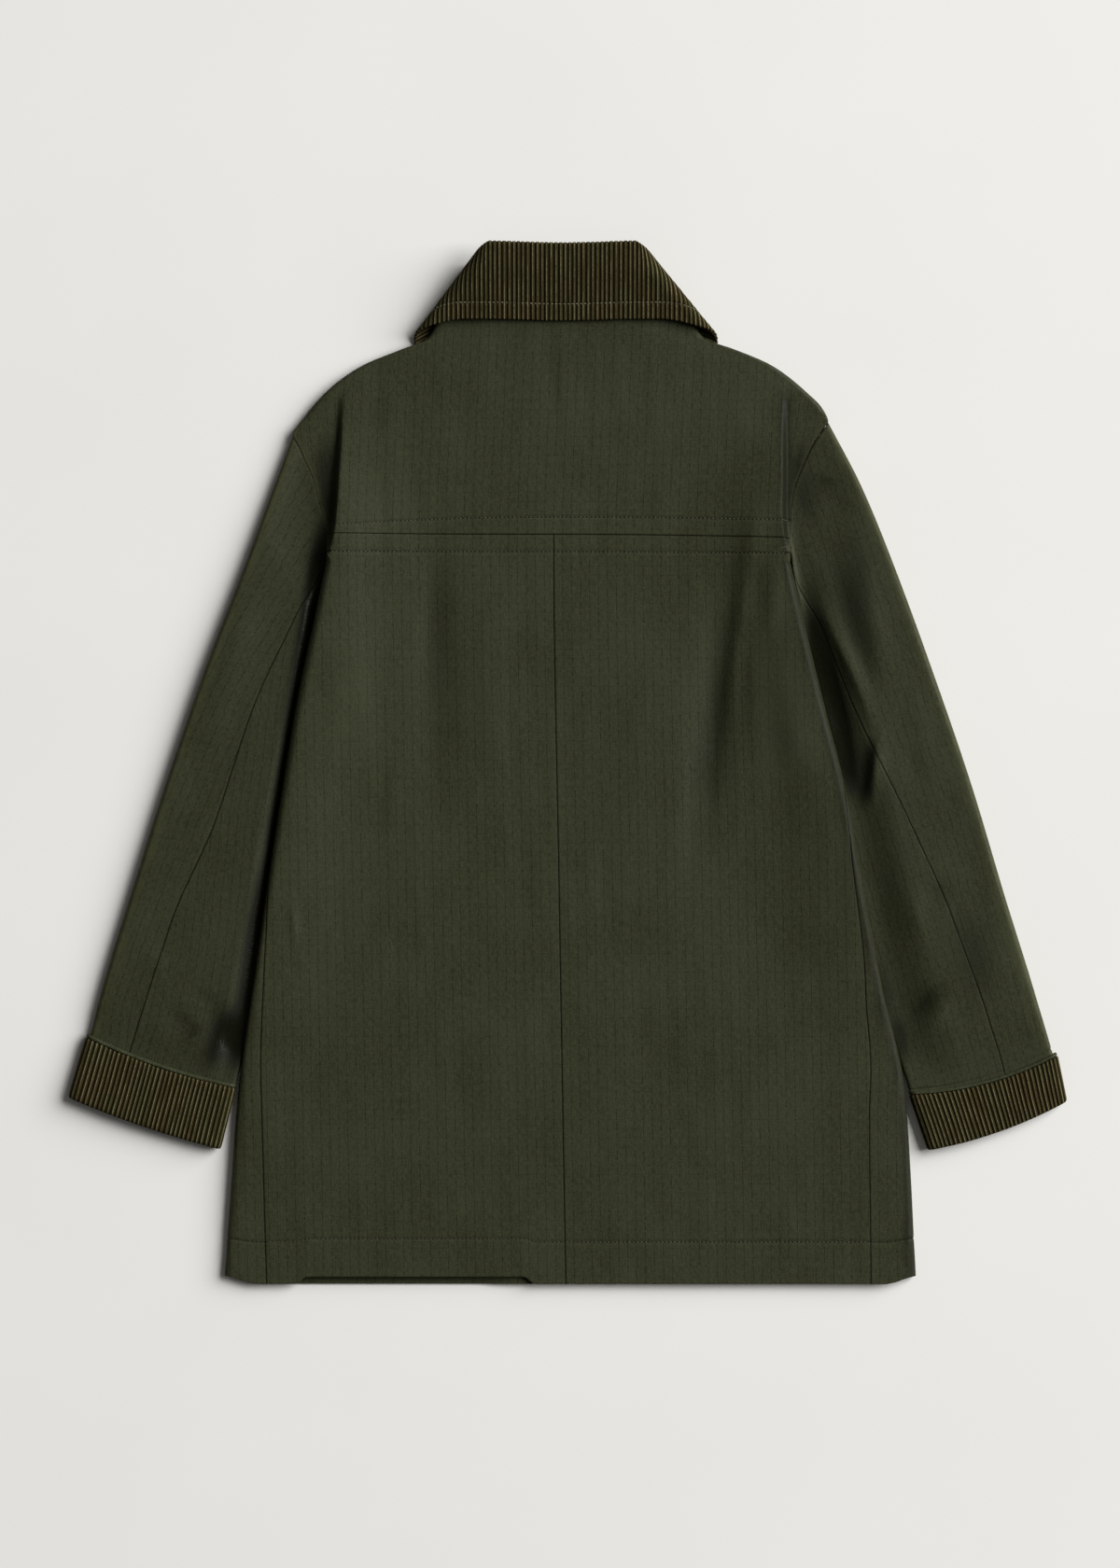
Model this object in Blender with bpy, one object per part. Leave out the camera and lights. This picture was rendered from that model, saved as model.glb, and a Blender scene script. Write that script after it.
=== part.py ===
"""Oilskin jacket with a corduroy collar and turn-back cuffs, laid flat on its front.

Each cut piece is one thin closed wall. Sizes are in millimetres and become metres in the mesh.
"up" is the distance above the hem along the back, x runs to the right as the back is seen,
and z is the height above the surface that the jacket lies on.
"""
import math

import bmesh
import bpy
import numpy as np

MM = 0.001
ORIGIN = (0.2, 390.55)    # x and up of the middle of the whole jacket
CLOTH = 1.3           # oilskin wall
CORDUROY = 2.4        # corduroy wall, without its wales
WALE = 3.52           # from one wale to the next
WALE_HEIGHT = 0.8
GAP = 0.3             # between neighbouring pieces

COLLAR_CENTRE = -3.5
COLLAR_TOP = 780.5    # up of the collar's fold at the centre back
COLLAR_HALF = 200.0   # along the fold, centre back to front end
LEAF_DEPTH = 58.0
FOLD_BEND = 2.8       # outer radius of the fold between leaf and stand
RIM_LAYER = 0.9       # the leaf's lower edge is pressed in by this
NECK_INSET = 9.5      # from the fold to the fronts' neck edge
NECK_PAST_END = 14.0  # how far that edge runs on past the collar's front end
STAND_DEPTH = 34.0
STAND_HALF = 72.0
STAND_LAYERS = (4.4, 3.3)      # below the leaf's outer face, at the fold and at the neck edge
COLLAR_SIDES = {-1: ((-63.0, 780.5), (-115.5, 711.5)), 1: ((55.3, 780.5), (112.7, 711.5))}

OVERLAP = 16.0        # each front past the centre line
HEM_BAND = 60.0       # the stretch in which the hem's lift fades out
CUFF_THICK = 10.5
CUFF_ROLL = 7.0       # reach of each rounded side
CUFF_EDGE = 2.5       # width of the oilskin edge above each cuff
CUFF_EDGE_INSET = 0.5
CUFF_SIDE_ARC = 18.0  # round one side, half of it above
CUFF_BANDS = ((0.0, 0.0), (0.5, 0.0), (0.94, 0.0), (1.0, 1.2))   # share of the depth, drawn in

BACK_COLUMNS = 14
FRONT_COLUMNS = 12
TOP_SLEEVE_COLUMNS = 13
UNDER_SLEEVE_COLUMNS = 11
FINE = 60             # points in each stretch of a section before it is thinned out
TURN_WEIGHT = 45.0    # millimetres of length that one radian of turning counts as


class Table:
    """Rows of numbers under named columns, read smoothly along the first column."""

    def __init__(self, names, *rows):
        rows = sorted(rows)
        self.columns = {name: np.array(values, float) for name, values in zip(names.split(), zip(*rows))}
        self.key = self.columns[names.split()[0]]

    def __call__(self, name, at):
        return curve(self.key, self.columns[name], at)


def curve(knots, values, at):
    """A smooth curve through the values that doesn't overshoot between them."""
    step = np.diff(knots)
    rise = np.diff(values) / step
    slope = np.concatenate((rise[:1], np.zeros(len(knots) - 2), rise[-1:]))
    for k in range(1, len(knots) - 1):
        if rise[k - 1] * rise[k] > 0:
            slope[k] = 2 * rise[k - 1] * rise[k] / (rise[k - 1] + rise[k])
    at = np.clip(at, knots[0], knots[-1])
    k = np.clip(np.searchsorted(knots, at) - 1, 0, len(step) - 1)
    t = (at - knots[k]) / step[k]
    start = values[k] * (1 + 2 * t) * (1 - t) ** 2 + slope[k] * step[k] * t * (1 - t) ** 2
    end = values[k + 1] * t * t * (3 - 2 * t) - slope[k + 1] * step[k] * t * t * (1 - t)
    return start + end


def smooth(t):
    t = np.clip(t, 0.0, 1.0)
    return t * t * (3 - 2 * t)


# The torso's side folds, from the hem to the underarm.
SIDES = Table(
    "up left right",
    (0, -256.9, 261.1),
    (88, -251.3, 256.9),
    (148, -246.4, 252.5),
    (221, -235.9, 235.9),
    (298, -224.7, 221.2),
    (368, -213.9, 208.6),
    (438, -202.3, 191.1),
    (501, -189.0, 175.7),
    (541, -180.6, 166.5),
)
# How far inside the side fold the side seam lies, below zero where it is underneath.
SIDE_SEAM = Table(
    "up left right",
    (0, 31.5, 34.0),
    (123, 20.0, 29.0),
    (190, 11.5, 18.5),
    (250, 5.5, 9.0),
    (300, 1.5, 6.0),
    (357, -6.0, 3.0),
    (420, -12.0, -5.0),
    (480, -12.0, -12.0),
    (541, 0.0, 0.0),
)
# The centre-back seam, and above the yoke seam the middle of the yoke.
CENTRE_BACK = Table("up x", (0, -1.4), (291, -6.3), (562, -10.5), (640, -8.0), (750, -3.5))

# Rows from the yoke seam's line to the neck: up at the centre, then the end on each side, which
# is on the armhole seam below the shoulder tip, and on the shoulder line above it.
SHOULDER_ROWS = (
    {"centre": 541.0, "left": (-180.6, 541.0), "right": (166.5, 541.0), "on": "side"},
    {"centre": 551.6, "left": (-180.4, 551.8), "right": (166.8, 549.6), "on": "armhole"},
    {"centre": 562.0, "left": (-180.6, 562.8), "right": (167.0, 559.3), "on": "armhole"},
    {"centre": 579.6, "left": (-182.4, 570.5), "right": (167.4, 576.8), "on": "armhole"},
    {"centre": 599.2, "left": (-186.2, 585.2), "right": (169.4, 593.6), "on": "armhole"},
    {"centre": 620.2, "left": (-191.8, 606.2), "right": (176.4, 613.2), "on": "armhole"},
    {"centre": 639.1, "left": (-198.8, 621.6), "right": (186.2, 633.5), "on": "armhole"},
    {"centre": 647.3, "left": (-202.3, 629.4), "right": (190.9, 640.3), "on": "armhole"},
    {"centre": 655.2, "left": (-205.8, 637.0), "right": (195.3, 646.8), "on": "armhole"},
    {"centre": 666.0, "left": (-198.0, 649.0), "right": (191.0, 656.5), "on": "shoulder", "roll": 5.0},
    {"centre": 685.3, "left": (-180.6, 669.2), "right": (178.5, 669.2), "on": "shoulder", "roll": 6.0},
    {"centre": 702.5, "left": (-155.0, 688.0), "right": (153.5, 688.5), "on": "shoulder", "roll": 8.0},
    {"centre": 716.5, "left": (-121.0, 702.0), "right": (121.5, 702.0), "on": "shoulder", "roll": 11.0},
    {"centre": 724.5, "left": (-105.0, 708.5), "right": (103.5, 708.0), "on": "shoulder", "roll": 8.0},
    {"centre": 736.5, "left": (-94.5, 728.0), "right": (90.5, 728.0), "on": "shoulder", "roll": 5.5},
    {"centre": 746.0, "left": (-82.0, 743.0), "right": (77.5, 743.0), "on": "shoulder", "roll": 5.0},
)
TORSO_UPS = (0, 22, 60, 105, 150, 180, 205, 228, 250, 270, 290, 312, 334, 356, 380, 405, 440, 480, 513)
YOKE_SEAM = 2         # index of the yoke seam in SHOULDER_ROWS
SHOULDER_TIP = 8      # index of the shoulder tip

# Height of the back's outer face along its middle, and how much higher it is beside the side folds.
BACK_LEVEL = Table(
    "up level side_rise",
    (0, 6.8, 0.0),
    (60, 8.0, 0.0),
    (170, 9.0, 0.5),
    (230, 9.0, 2.4),
    (300, 9.0, 3.0),
    (450, 9.4, 4.5),
    (560, 9.8, 5.0),
    (620, 10.0, 3.5),
    (670, 9.8, 0.0),
    (700, 10.2, -1.0),
    (715, 10.9, -1.5),
    (727, 12.0, -2.0),
    (738, 14.6, -2.0),
    (746, 17.4, -3.5),
)
RISE_WIDTH = 45.0
# The crisp fold beside each armhole, past which the back drops to the armhole seam.
ARMHOLE_FOLD = Table(
    "up left right drop",
    (541, -181.5, 168.0, 0.0),
    (551, -179.0, 166.8, 4.0),
    (562, -176.5, 163.5, 7.5),
    (580, -174.3, 162.0, 8.0),
    (613, -172.2, 162.5, 7.5),
    (640, -170.5, 162.5, 4.5),
    (668, -169.4, 162.5, 0.0),
)
DROP_WIDTH = 10.0

# Long soft folds of the back: both ends, half width and height, below zero for a trough.
BACK_FOLDS = (
    {"start": (-99, 590), "end": (-97, 315), "width": 19, "height": -2.4},
    {"start": (129, 570), "end": (96, 270), "width": 17, "height": -2.8},
    {"start": (-160, 520), "end": (-168, 360), "width": 17, "height": 1.8},
    {"start": (158, 480), "end": (186, 330), "width": 15, "height": 1.8},
    {"start": (-30, 260), "end": (-60, 120), "width": 30, "height": 0.9},
    {"start": (80, 215), "end": (66, 110), "width": 22, "height": -1.1},
)

# How far the torso's side fold overlaps the sleeve, and how high it lies over it.
TUCK = Table(
    "up tuck lift roll",
    (0, 0.0, 0.0, 3.6),
    (110, 0.0, 0.0, 4.4),
    (150, 0.0, 0.3, 4.6),
    (190, 2.5, 3.6, 4.0),
    (230, 5.0, 5.5, 3.6),
    (300, 7.0, 5.5, 5.0),
    (450, 10.0, 5.5, 6.0),
    (510, 5.0, 5.5, 6.0),
    (541, 0.0, 5.5, 5.0),
)
RAMP = 18.0           # from the lifted side of a front down to the surface
COLLAR_LIFT = 3.4     # the fronts over the collar's front ends
LIFT_FROM = 592.0
LIFT_FADE = 28.0
LIFT_HALF = 118.0
OVERLAP_LIFT = 2.6    # the left front over the right one

# Stations of the sleeves: the outer fold, the up of the inner fold, the height, and how far from
# the outer fold the back seam lies, as a share of the width.
SLEEVES = {
    "left": Table(
        "at outer_x outer_up inner_up level seam",
        (0.00, -205.8, 636.3, 541.0, 8.0, 0.90),
        (0.07, -224.7, 585.2, 506.0, 9.5, 0.78),
        (0.17, -240.1, 543.2, 473.0, 10.5, 0.65),
        (0.36, -272.3, 459.2, 395.0, 11.0, 0.49),
        (0.55, -301.0, 375.2, 316.0, 10.5, 0.44),
        (0.74, -327.6, 291.2, 237.0, 10.0, 0.32),
        (0.91, -350.7, 214.2, 172.0, 9.3, 0.29),
        (0.98, -356.2, 191.1, 153.5, 7.7, 0.28),
        (1.00, -357.8, 184.5, 148.2, 7.6, 0.275),
    ),
    "right": Table(
        "at outer_x outer_up inner_up level seam",
        (0.00, 195.6, 646.0, 541.0, 8.0, 0.91),
        (0.07, 219.8, 599.2, 506.0, 9.5, 0.86),
        (0.17, 242.9, 543.2, 473.0, 10.5, 0.75),
        (0.36, 273.7, 459.2, 395.0, 11.0, 0.65),
        (0.55, 302.4, 375.2, 316.0, 10.5, 0.50),
        (0.74, 327.6, 291.2, 237.0, 10.0, 0.38),
        (0.91, 352.0, 212.0, 170.0, 9.3, 0.35),
        (0.98, 360.2, 181.0, 150.2, 7.7, 0.35),
        (1.00, 362.5, 172.2, 144.5, 7.6, 0.35),
    ),
}
SLEEVE_STATIONS = (0.0, 0.04, 0.09, 0.17, 0.27, 0.37, 0.47, 0.57, 0.67, 0.77, 0.86, 0.92, 0.98, 1.0)
SLEEVE_FOLDS = {
    "left": (
        {"start": (-232, 540), "end": (-268, 400), "width": 14, "height": 1.4},
        {"start": (-300, 215), "end": (-276, 178), "width": 12, "height": -1.6},
        {"start": (-325, 250), "end": (-290, 236), "width": 10, "height": 1.0},
    ),
    "right": (
        {"start": (186, 575), "end": (228, 440), "width": 11, "height": -2.2},
        {"start": (205, 560), "end": (246, 420), "width": 12, "height": 1.4},
        {"start": (285, 222), "end": (250, 186), "width": 9, "height": -2.2},
        {"start": (262, 300), "end": (288, 286), "width": 9, "height": -1.2},
    ),
}
SLEEVE_SEAM_UNDER = 0.80    # the hidden seam, as a share of the width from the outer fold
SLEEVE_INNER = 4.6          # height of the sleeve's inner fold, under the torso's side
SLEEVE_RISE = 24.0          # from the inner fold up to the sleeve's full height
SLEEVE_BASE = 2.8           # the sleeve's underside inside the cuff
SLEEVE_INSET = 3.7          # from the cuff's sides to the sleeve inside it
ARMHOLE_ROLL = 0.15
ARMHOLE_CLEAR = 0.6         # from the armhole seam to the sleeve
SHOULDER_CLEAR = 0.045      # half the shoulder seam's gap, as a share of the roll

# Each cuff's upper and lower edge, from the sleeve's outer fold to its inner fold.
CUFFS = {
    "left": {"top": ((-361.2, 186.2), (-248.0, 147.5)), "bottom": ((-374.5, 140.7), (-259.5, 101.5)),
             "bow": (4.0, 2.5)},
    "right": {"top": ((367.5, 172.2), (255.2, 142.6)), "bottom": ((374.5, 137.9), (269.5, 100.8)),
              "bow": (7.0, 4.6)},
}

OILSKIN_COLOUR = (0.036, 0.038, 0.021, 1.0)
CORDUROY_COLOUR = (0.030, 0.025, 0.010, 1.0)


def fold_height(folds, x, up):
    """The sum of the soft folds at a point: a bell across each fold that dies out at its ends."""
    total = np.zeros(np.broadcast(x, up).shape)
    for fold in folds:
        start = np.array(fold["start"], float)
        along = np.array(fold["end"], float) - start
        length = np.hypot(*along)
        share = ((x - start[0]) * along[0] + (up - start[1]) * along[1]) / length ** 2
        off = ((x - start[0]) * along[1] - (up - start[1]) * along[0]) / length
        ends = smooth(1.8 * share) * smooth(1.8 * (1 - share))
        total = total + fold["height"] * ends * np.exp(-(off / fold["width"]) ** 2)
    return total


def inward(side):
    return 1.0 if side == "left" else -1.0


def back_height(side, edge, x, up):
    """Height of the back's outer face over the surface."""
    inset = np.abs(x - edge)
    height = BACK_LEVEL("level", up) + BACK_LEVEL("side_rise", up) * np.exp(-(inset / RISE_WIDTH) ** 2)
    past = (ARMHOLE_FOLD(side, up) - x) * inward(side)
    drop = ARMHOLE_FOLD("drop", up) * smooth(past / DROP_WIDTH + 0.5)
    return height - drop + fold_height(BACK_FOLDS, x, up)


def collar_lift(x, up):
    """How far the fronts lie above the surface, where the collar's front ends are under them."""
    beside = smooth((LIFT_HALF + LIFT_FADE - np.abs(x)) / LIFT_FADE)
    return COLLAR_LIFT * smooth((up - LIFT_FROM) / LIFT_FADE) * beside


def body_rows():
    """All rows of the body, from the hem to the neck."""
    rows = []
    for up in TORSO_UPS:
        left, right = SIDES("left", up), SIDES("right", up)
        rows.append({"centre": float(up), "left": (left, up), "right": (right, up), "on": "side"})
    return rows + list(SHOULDER_ROWS)


def hem_lift(x, up, layer):
    """The back hem rides up over the left front, and both hems round off at the corners."""
    fade = 1 - smooth(up / HEM_BAND)
    corner = 6.0 * (smooth((-x - 232) / 24) + smooth((x - 238) / 24))
    if layer == "front":
        return fade * (corner + 0.6)
    shown = smooth((x + 204) / 9) * smooth((-24 - x) / 9)
    return fade * (corner + 0.8 + 5.4 * shown)


def row_up(row, side, x, layer):
    """The up of a point of a row: the row bends down from its centre to its end."""
    end_x, end_up = row[side]
    centre_x = CENTRE_BACK("x", row["centre"])
    share = (x - centre_x) / (end_x - centre_x)
    up = end_up + (row["centre"] - end_up) * (1 - np.clip(share, 0, 1) ** 2)
    return up + hem_lift(x, up, layer) if row["centre"] < HEM_BAND else up


def front_end(row, side):
    """Where a front ends: past the centre line, or above the collar's end at the neck edge."""
    x = np.linspace(row[side][0], OVERLAP * inward(side), 4 * FINE)
    up = row_up(row, side, x, "front")
    neck = NECK_EDGE[side]
    beyond = (x - np.interp(up, neck[:, 1], neck[:, 0])) * inward(side) > 0
    cut = np.flatnonzero(beyond & (up > neck[0, 1]))
    return float(x[cut[0]]) if len(cut) else OVERLAP * inward(side)


def body_section(row, side, layer):
    """The torso's outer face in one row, from the centre back over the side to the front's end.

    Each point is (reach, x, up, z). The reach is the distance inside the side fold, counted below zero
    underneath, so it falls steadily along the section.
    """
    edge, edge_up = row[side]
    way = inward(side)
    centre = CENTRE_BACK("x", row["centre"])
    if row["on"] == "side":
        roll, lift, tuck = TUCK("roll", edge_up), TUCK("lift", edge_up), TUCK("tuck", edge_up)
    else:
        roll = row.get("roll", ARMHOLE_ROLL)
        lift, tuck = float(collar_lift(edge, edge_up)), 0.0
    top = back_height(side, edge, edge + way * roll, edge_up)
    middle, half = (top + lift) / 2, (top - lift) / 2

    x = np.linspace(centre, edge + way * roll, 2 * FINE, endpoint=False)
    height = back_height(side, edge, x, row_up(row, side, x, "back"))
    parts = [np.stack((np.abs(x - edge), x, height), 1)]
    angle = np.linspace(0, math.pi, FINE)
    inset = roll * (1 - np.sin(angle))
    reach = roll * (1 - angle / (math.pi / 2))
    parts.append(np.stack((reach, edge + way * inset, middle + half * np.cos(angle)), 1))
    x = np.linspace(edge + way * roll, front_end(row, side), 2 * FINE)[1:]
    inset = np.abs(x - edge)
    over_collar = collar_lift(x, row_up(row, side, x, "front"))
    floor = over_collar + (lift - over_collar) * (1 - smooth((inset - tuck - 2) / RAMP))
    if side == "left":
        floor = floor + OVERLAP_LIFT * smooth((x + OVERLAP + 54) / 32)
    parts.append(np.stack((-inset, x, floor), 1))
    reach, x, z = np.concatenate(parts).T
    return np.stack((reach, x, row_up(row, side, x, layer), z), 1)


def thin_out(points, count):
    """Picks points along a line, closer together where it turns; x, up and z come first."""
    step = np.diff(points[:, :3], axis=0)
    length = np.linalg.norm(step, axis=1)
    heading = step / length[:, None]
    turning = np.arccos(np.clip(np.sum(heading[1:] * heading[:-1], axis=1), -1, 1))
    along = np.concatenate(([0], np.cumsum(length + TURN_WEIGHT * np.concatenate(([0], turning)))))
    wanted = np.linspace(0, along[-1], count)
    return np.stack([np.interp(wanted, along, points[:, k]) for k in range(points.shape[1])], 1)


def between(section, start, stop):
    """The part of a section between two reaches as (x, up, z), with exact ends."""
    falling = section[::-1]
    ends = [[np.interp(reach, falling[:, 0], falling[:, k]) for k in range(4)] for reach in (start, stop)]
    inside = section[(section[:, 0] < start) & (section[:, 0] > stop)]
    points = np.concatenate((ends[:1], inside, ends[1:]))[:, 1:]
    keep = np.concatenate(([True], np.linalg.norm(np.diff(points, axis=0), axis=1) > 0.01))
    return points[keep]


def wall_faces(lines, count, way, across=None):
    """Outer and inner points of an oilskin wall from one fine line of (x, up, z) for each row.

    The wall's thickness stands square to the surface, or for a tube square to its section, which
    is seen along the tube.
    """
    rows = []
    for line in lines:
        heading = np.gradient(line, axis=0)
        heading = heading / np.linalg.norm(heading, axis=1)[:, None]
        rows.append(thin_out(np.hstack((line, heading)), count))
    rows = np.array(rows)
    outer, along = rows[:, :, :3], rows[:, :, 3:]
    if across is None:
        normal = np.cross(along, np.gradient(outer, axis=0))
    else:
        reach = along[:, :, :2] @ across
        normal = np.stack((along[:, :, 2] * across[0], along[:, :, 2] * across[1], -reach), -1)
    normal = normal / np.linalg.norm(normal, axis=2)[:, :, None]
    return outer, outer + way * CLOTH * normal


def seam_reach(row, side):
    """The reach at which the back ends and the one at which the front starts."""
    if row["on"] == "armhole":
        return ARMHOLE_ROLL, -ARMHOLE_ROLL
    if row["on"] == "shoulder":
        return SHOULDER_CLEAR * row["roll"], -SHOULDER_CLEAR * row["roll"]
    seam = SIDE_SEAM(side, row[side][1])
    return seam + GAP / 2, seam - GAP / 2


def back_faces(side, centre_gap):
    """The outer and inner points of one half of the back, from the hem to the neck."""
    lines = []
    for row in body_rows():
        section = body_section(row, side, "back")
        lines.append(between(section, section[0, 0] - centre_gap, seam_reach(row, side)[0]))
    return wall_faces(lines, BACK_COLUMNS, inward(side))


def back_panel(side):
    last = len(TORSO_UPS) + YOKE_SEAM
    faces = [face[: last + 1].copy() for face in back_faces(side, GAP / 2)]
    for face in faces:
        face[-1, :, 1] -= GAP / 2
    return faces


def yoke_panel():
    first = len(TORSO_UPS) + YOKE_SEAM
    left, right = [[face[first:] for face in back_faces(side, 0.0)] for side in ("left", "right")]
    faces = [np.concatenate((one[:, ::-1], other[:, 1:]), axis=1) for one, other in zip(left, right)]
    for face in faces:
        face[0, :, 1] += GAP / 2
    return faces


def front_panel(side):
    lines = []
    for row in body_rows():
        section = body_section(row, side, "front")
        lines.append(between(section, seam_reach(row, side)[1], section[-1, 0]))
    return wall_faces(lines, FRONT_COLUMNS, inward(side))


def inner_fold(side, up):
    """The sleeve's inner fold, tucked under the torso's side fold."""
    return SIDES(side, up) + inward(side) * TUCK("tuck", up)


def cuff_line(side, share):
    """Both ends and the bow of a line across the cuff: 0 is its upper edge and 1 its lower one."""
    cuff = CUFFS[side]
    ends = [np.array(top) + share * (np.array(low) - np.array(top)) for top, low in zip(cuff["top"], cuff["bottom"])]
    bow = cuff["bow"][0] + share * (cuff["bow"][1] - cuff["bow"][0])
    return ends[0], ends[1], bow


def sleeve_folds(side, at):
    """The outer and the inner fold of the sleeve at a station, before the cuff."""
    sleeve = SLEEVES[side]
    inner_up = sleeve("inner_up", at)
    outer = np.array((sleeve("outer_x", at), sleeve("outer_up", at)))
    return outer, np.array((inner_fold(side, inner_up), inner_up))


def sleeve_line(side, at):
    """Both folds of the sleeve at a station, led into the cuff, and the bow between them."""
    outer, inner = sleeve_folds(side, at)
    last_outer, last_inner = sleeve_folds(side, 1.0)
    cuff_outer, cuff_inner, bow = cuff_line(side, 0.0)
    inset = (cuff_inner - cuff_outer) / np.hypot(*(cuff_inner - cuff_outer)) * SLEEVE_INSET
    near = smooth((at - 0.86) / 0.14)
    outer = outer + near * (cuff_outer + inset - last_outer)
    inner = inner + near * (cuff_inner - inset - last_inner)
    return outer, inner, near * bow


def armhole(side):
    """The armhole seam from the shoulder tip to the underarm: share of its length, x, up, height."""
    rows = SHOULDER_ROWS[SHOULDER_TIP::-1]
    points = np.array([row[side] for row in rows])
    length = np.concatenate(([0], np.cumsum(np.hypot(*np.diff(points, axis=0).T))))
    heights = [float(back_height(side, x, x, up)) for x, up in points]
    heights[-2:] = [SLEEVE_INNER + 1.0, SLEEVE_INNER]
    return np.column_stack((length / length[-1], points, heights))


def tube_section(width, level, base, outer_roll, inner_roll, inner_level):
    """A flattened tube's outer face: (reach, q, z), from the inner fold over the top and back.

    q is the distance from the outer fold. The reach is q on top and -q underneath.
    """
    def top_at(q):
        return inner_level + (level - inner_level) * smooth((width - q) / SLEEVE_RISE - 0.35)

    parts = []
    for q_end, roll, flip in ((width, inner_roll, -1), (0.0, outer_roll, 1)):
        q_top = q_end + flip * roll
        middle, half = (top_at(q_top) + base) / 2, (top_at(q_top) - base) / 2
        angle = np.linspace(0, math.pi / 2, FINE // 2)
        q = q_end + flip * roll * (1 - np.sin(angle))
        parts.append((q, middle + half * np.cos(angle), middle - half * np.cos(angle)))
    q = np.linspace(width - inner_roll, outer_roll, 2 * FINE)[1:-1]
    top = np.concatenate((parts[0][1][::-1], top_at(q), parts[1][1]))
    top_q = np.concatenate((parts[0][0][::-1], q, parts[1][0]))
    low = np.concatenate((parts[1][2][::-1], np.full(len(q), base), parts[0][2]))[1:]
    low_q = np.concatenate((parts[1][0][::-1], q[::-1], parts[0][0]))[1:]
    return np.concatenate((np.stack((top_q, top_q, top), 1), np.stack((-low_q, low_q, low), 1)))


def sleeve_section(side, at):
    """One station of a sleeve as (reach, x, up, z), the reach of its back seam and its width."""
    outer, inner, bow = sleeve_line(side, at)
    across = inner - outer
    width = float(np.hypot(*across))
    across = across / width
    down = np.array((across[1], -across[0])) * inward(side)
    cuffed = smooth((at - 0.90) / 0.10)
    base = SLEEVE_BASE * smooth((at - 0.90) / 0.08)
    level = SLEEVES[side]("level", at)
    inner_level = SLEEVE_INNER + cuffed * (level - SLEEVE_INNER)
    head = 1 - smooth(at / 0.12)
    section = tube_section(width, level, base, 4.0 - cuffed, 2.8 + 6.0 * head, inner_level)
    q, z = section[:, 1], section[:, 2]
    share = q / width
    x_up = outer + q[:, None] * across + (bow * 4 * share * (1 - share))[:, None] * down
    seam = armhole(side)
    curved = np.stack([np.interp(share, seam[:, 0], seam[:, k]) for k in (1, 2)], 1)
    straight = seam[0, 1:3] + share[:, None] * (seam[-1, 1:3] - seam[0, 1:3])
    x_up = x_up + head * (curved - straight + ARMHOLE_CLEAR * down)
    on_top = (section[:, 0] >= 0) * smooth(q / 18) * smooth((width - q) / 18) * (1 - cuffed)
    z = z + on_top * fold_height(SLEEVE_FOLDS[side], x_up[:, 0], x_up[:, 1])
    z = z + on_top * head * (np.interp(share, seam[:, 0], seam[:, 3]) - z)
    return np.column_stack((section[:, 0], x_up, z)), SLEEVES[side]("seam", at) * width, width


def sleeve_panels(side):
    """The top sleeve, round the outer fold, and the under sleeve, round the inner fold."""
    top, under = [], []
    for at in SLEEVE_STATIONS:
        section, seam, width = sleeve_section(side, at)
        hidden = -SLEEVE_SEAM_UNDER * width
        top.append(between(section, seam - GAP / 2, hidden + GAP / 2))
        low = between(section, hidden - GAP / 2, section[-1, 0])
        high = between(section, section[0, 0], seam + GAP / 2)
        under.append(np.concatenate((low, high[1:])))
    outer, inner, bow = cuff_line(side, 0.0)
    across = (inner - outer) / np.hypot(*(inner - outer))
    return wall_faces(top, TOP_SLEEVE_COLUMNS, -1, across), wall_faces(under, UNDER_SLEEVE_COLUMNS, -1, across)


def cuff_ring(side, share, inset, above=0.0):
    """A flattened ring across the cuff as (x, up, z), from the outer fold's underside over the top."""
    outer, inner, bow = cuff_line(side, share)
    across = inner - outer
    width = float(np.hypot(*across))
    across = across / width
    down = np.array((across[1], -across[0])) * inward(side)
    half = CUFF_THICK / 2
    angle = np.linspace(0, math.pi, FINE)
    bulge, high = (CUFF_ROLL - inset) * np.sin(angle), (half - inset) * np.cos(angle)
    straight = np.linspace(CUFF_ROLL, width - CUFF_ROLL, 2 * FINE)[1:-1]
    level = np.full(len(straight), half - inset)
    q = np.concatenate((CUFF_ROLL - bulge, straight, width - CUFF_ROLL + bulge, straight[::-1]))
    z = half + np.concatenate((-high, level, high, -level))
    bend = bow * 4 * (q / width) * (1 - q / width) - above
    return np.column_stack((outer + q[:, None] * across + bend[:, None] * down, z))


def wale_positions(total, start, stop, plain):
    """Places along a line: two for each wale from start to stop, and a few where it is plain."""
    count = int(round((stop - start) / WALE))
    ribbed = np.linspace(start, stop, 2 * count + 1)
    before = np.linspace(0, start, max(1, round(plain * start / max(start, total - stop))), endpoint=False)
    after = np.linspace(stop, total, plain + 1)[1:] if total > stop else np.array([])
    crest = np.zeros(len(before) + len(ribbed) + len(after))
    crest[len(before) + 1: len(before) + len(ribbed): 2] = 1.0
    return np.concatenate((before, ribbed, after)), crest


def ring_length(side):
    ring = cuff_ring(side, 0.0, 0.0)
    return np.concatenate(([0], np.cumsum(np.linalg.norm(np.diff(ring, axis=0, append=ring[:1]), axis=1))))


def along_ring(side, wanted, share, inset, above=0.0):
    """Points of a ring at shares of the way round the cuff's full upper edge."""
    ring = cuff_ring(side, share, inset, above)
    closed = np.concatenate((ring, ring[:1]))
    length = ring_length(side)
    return np.stack([np.interp(wanted * length[-1], length, closed[:, k]) for k in range(3)], 1)


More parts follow.
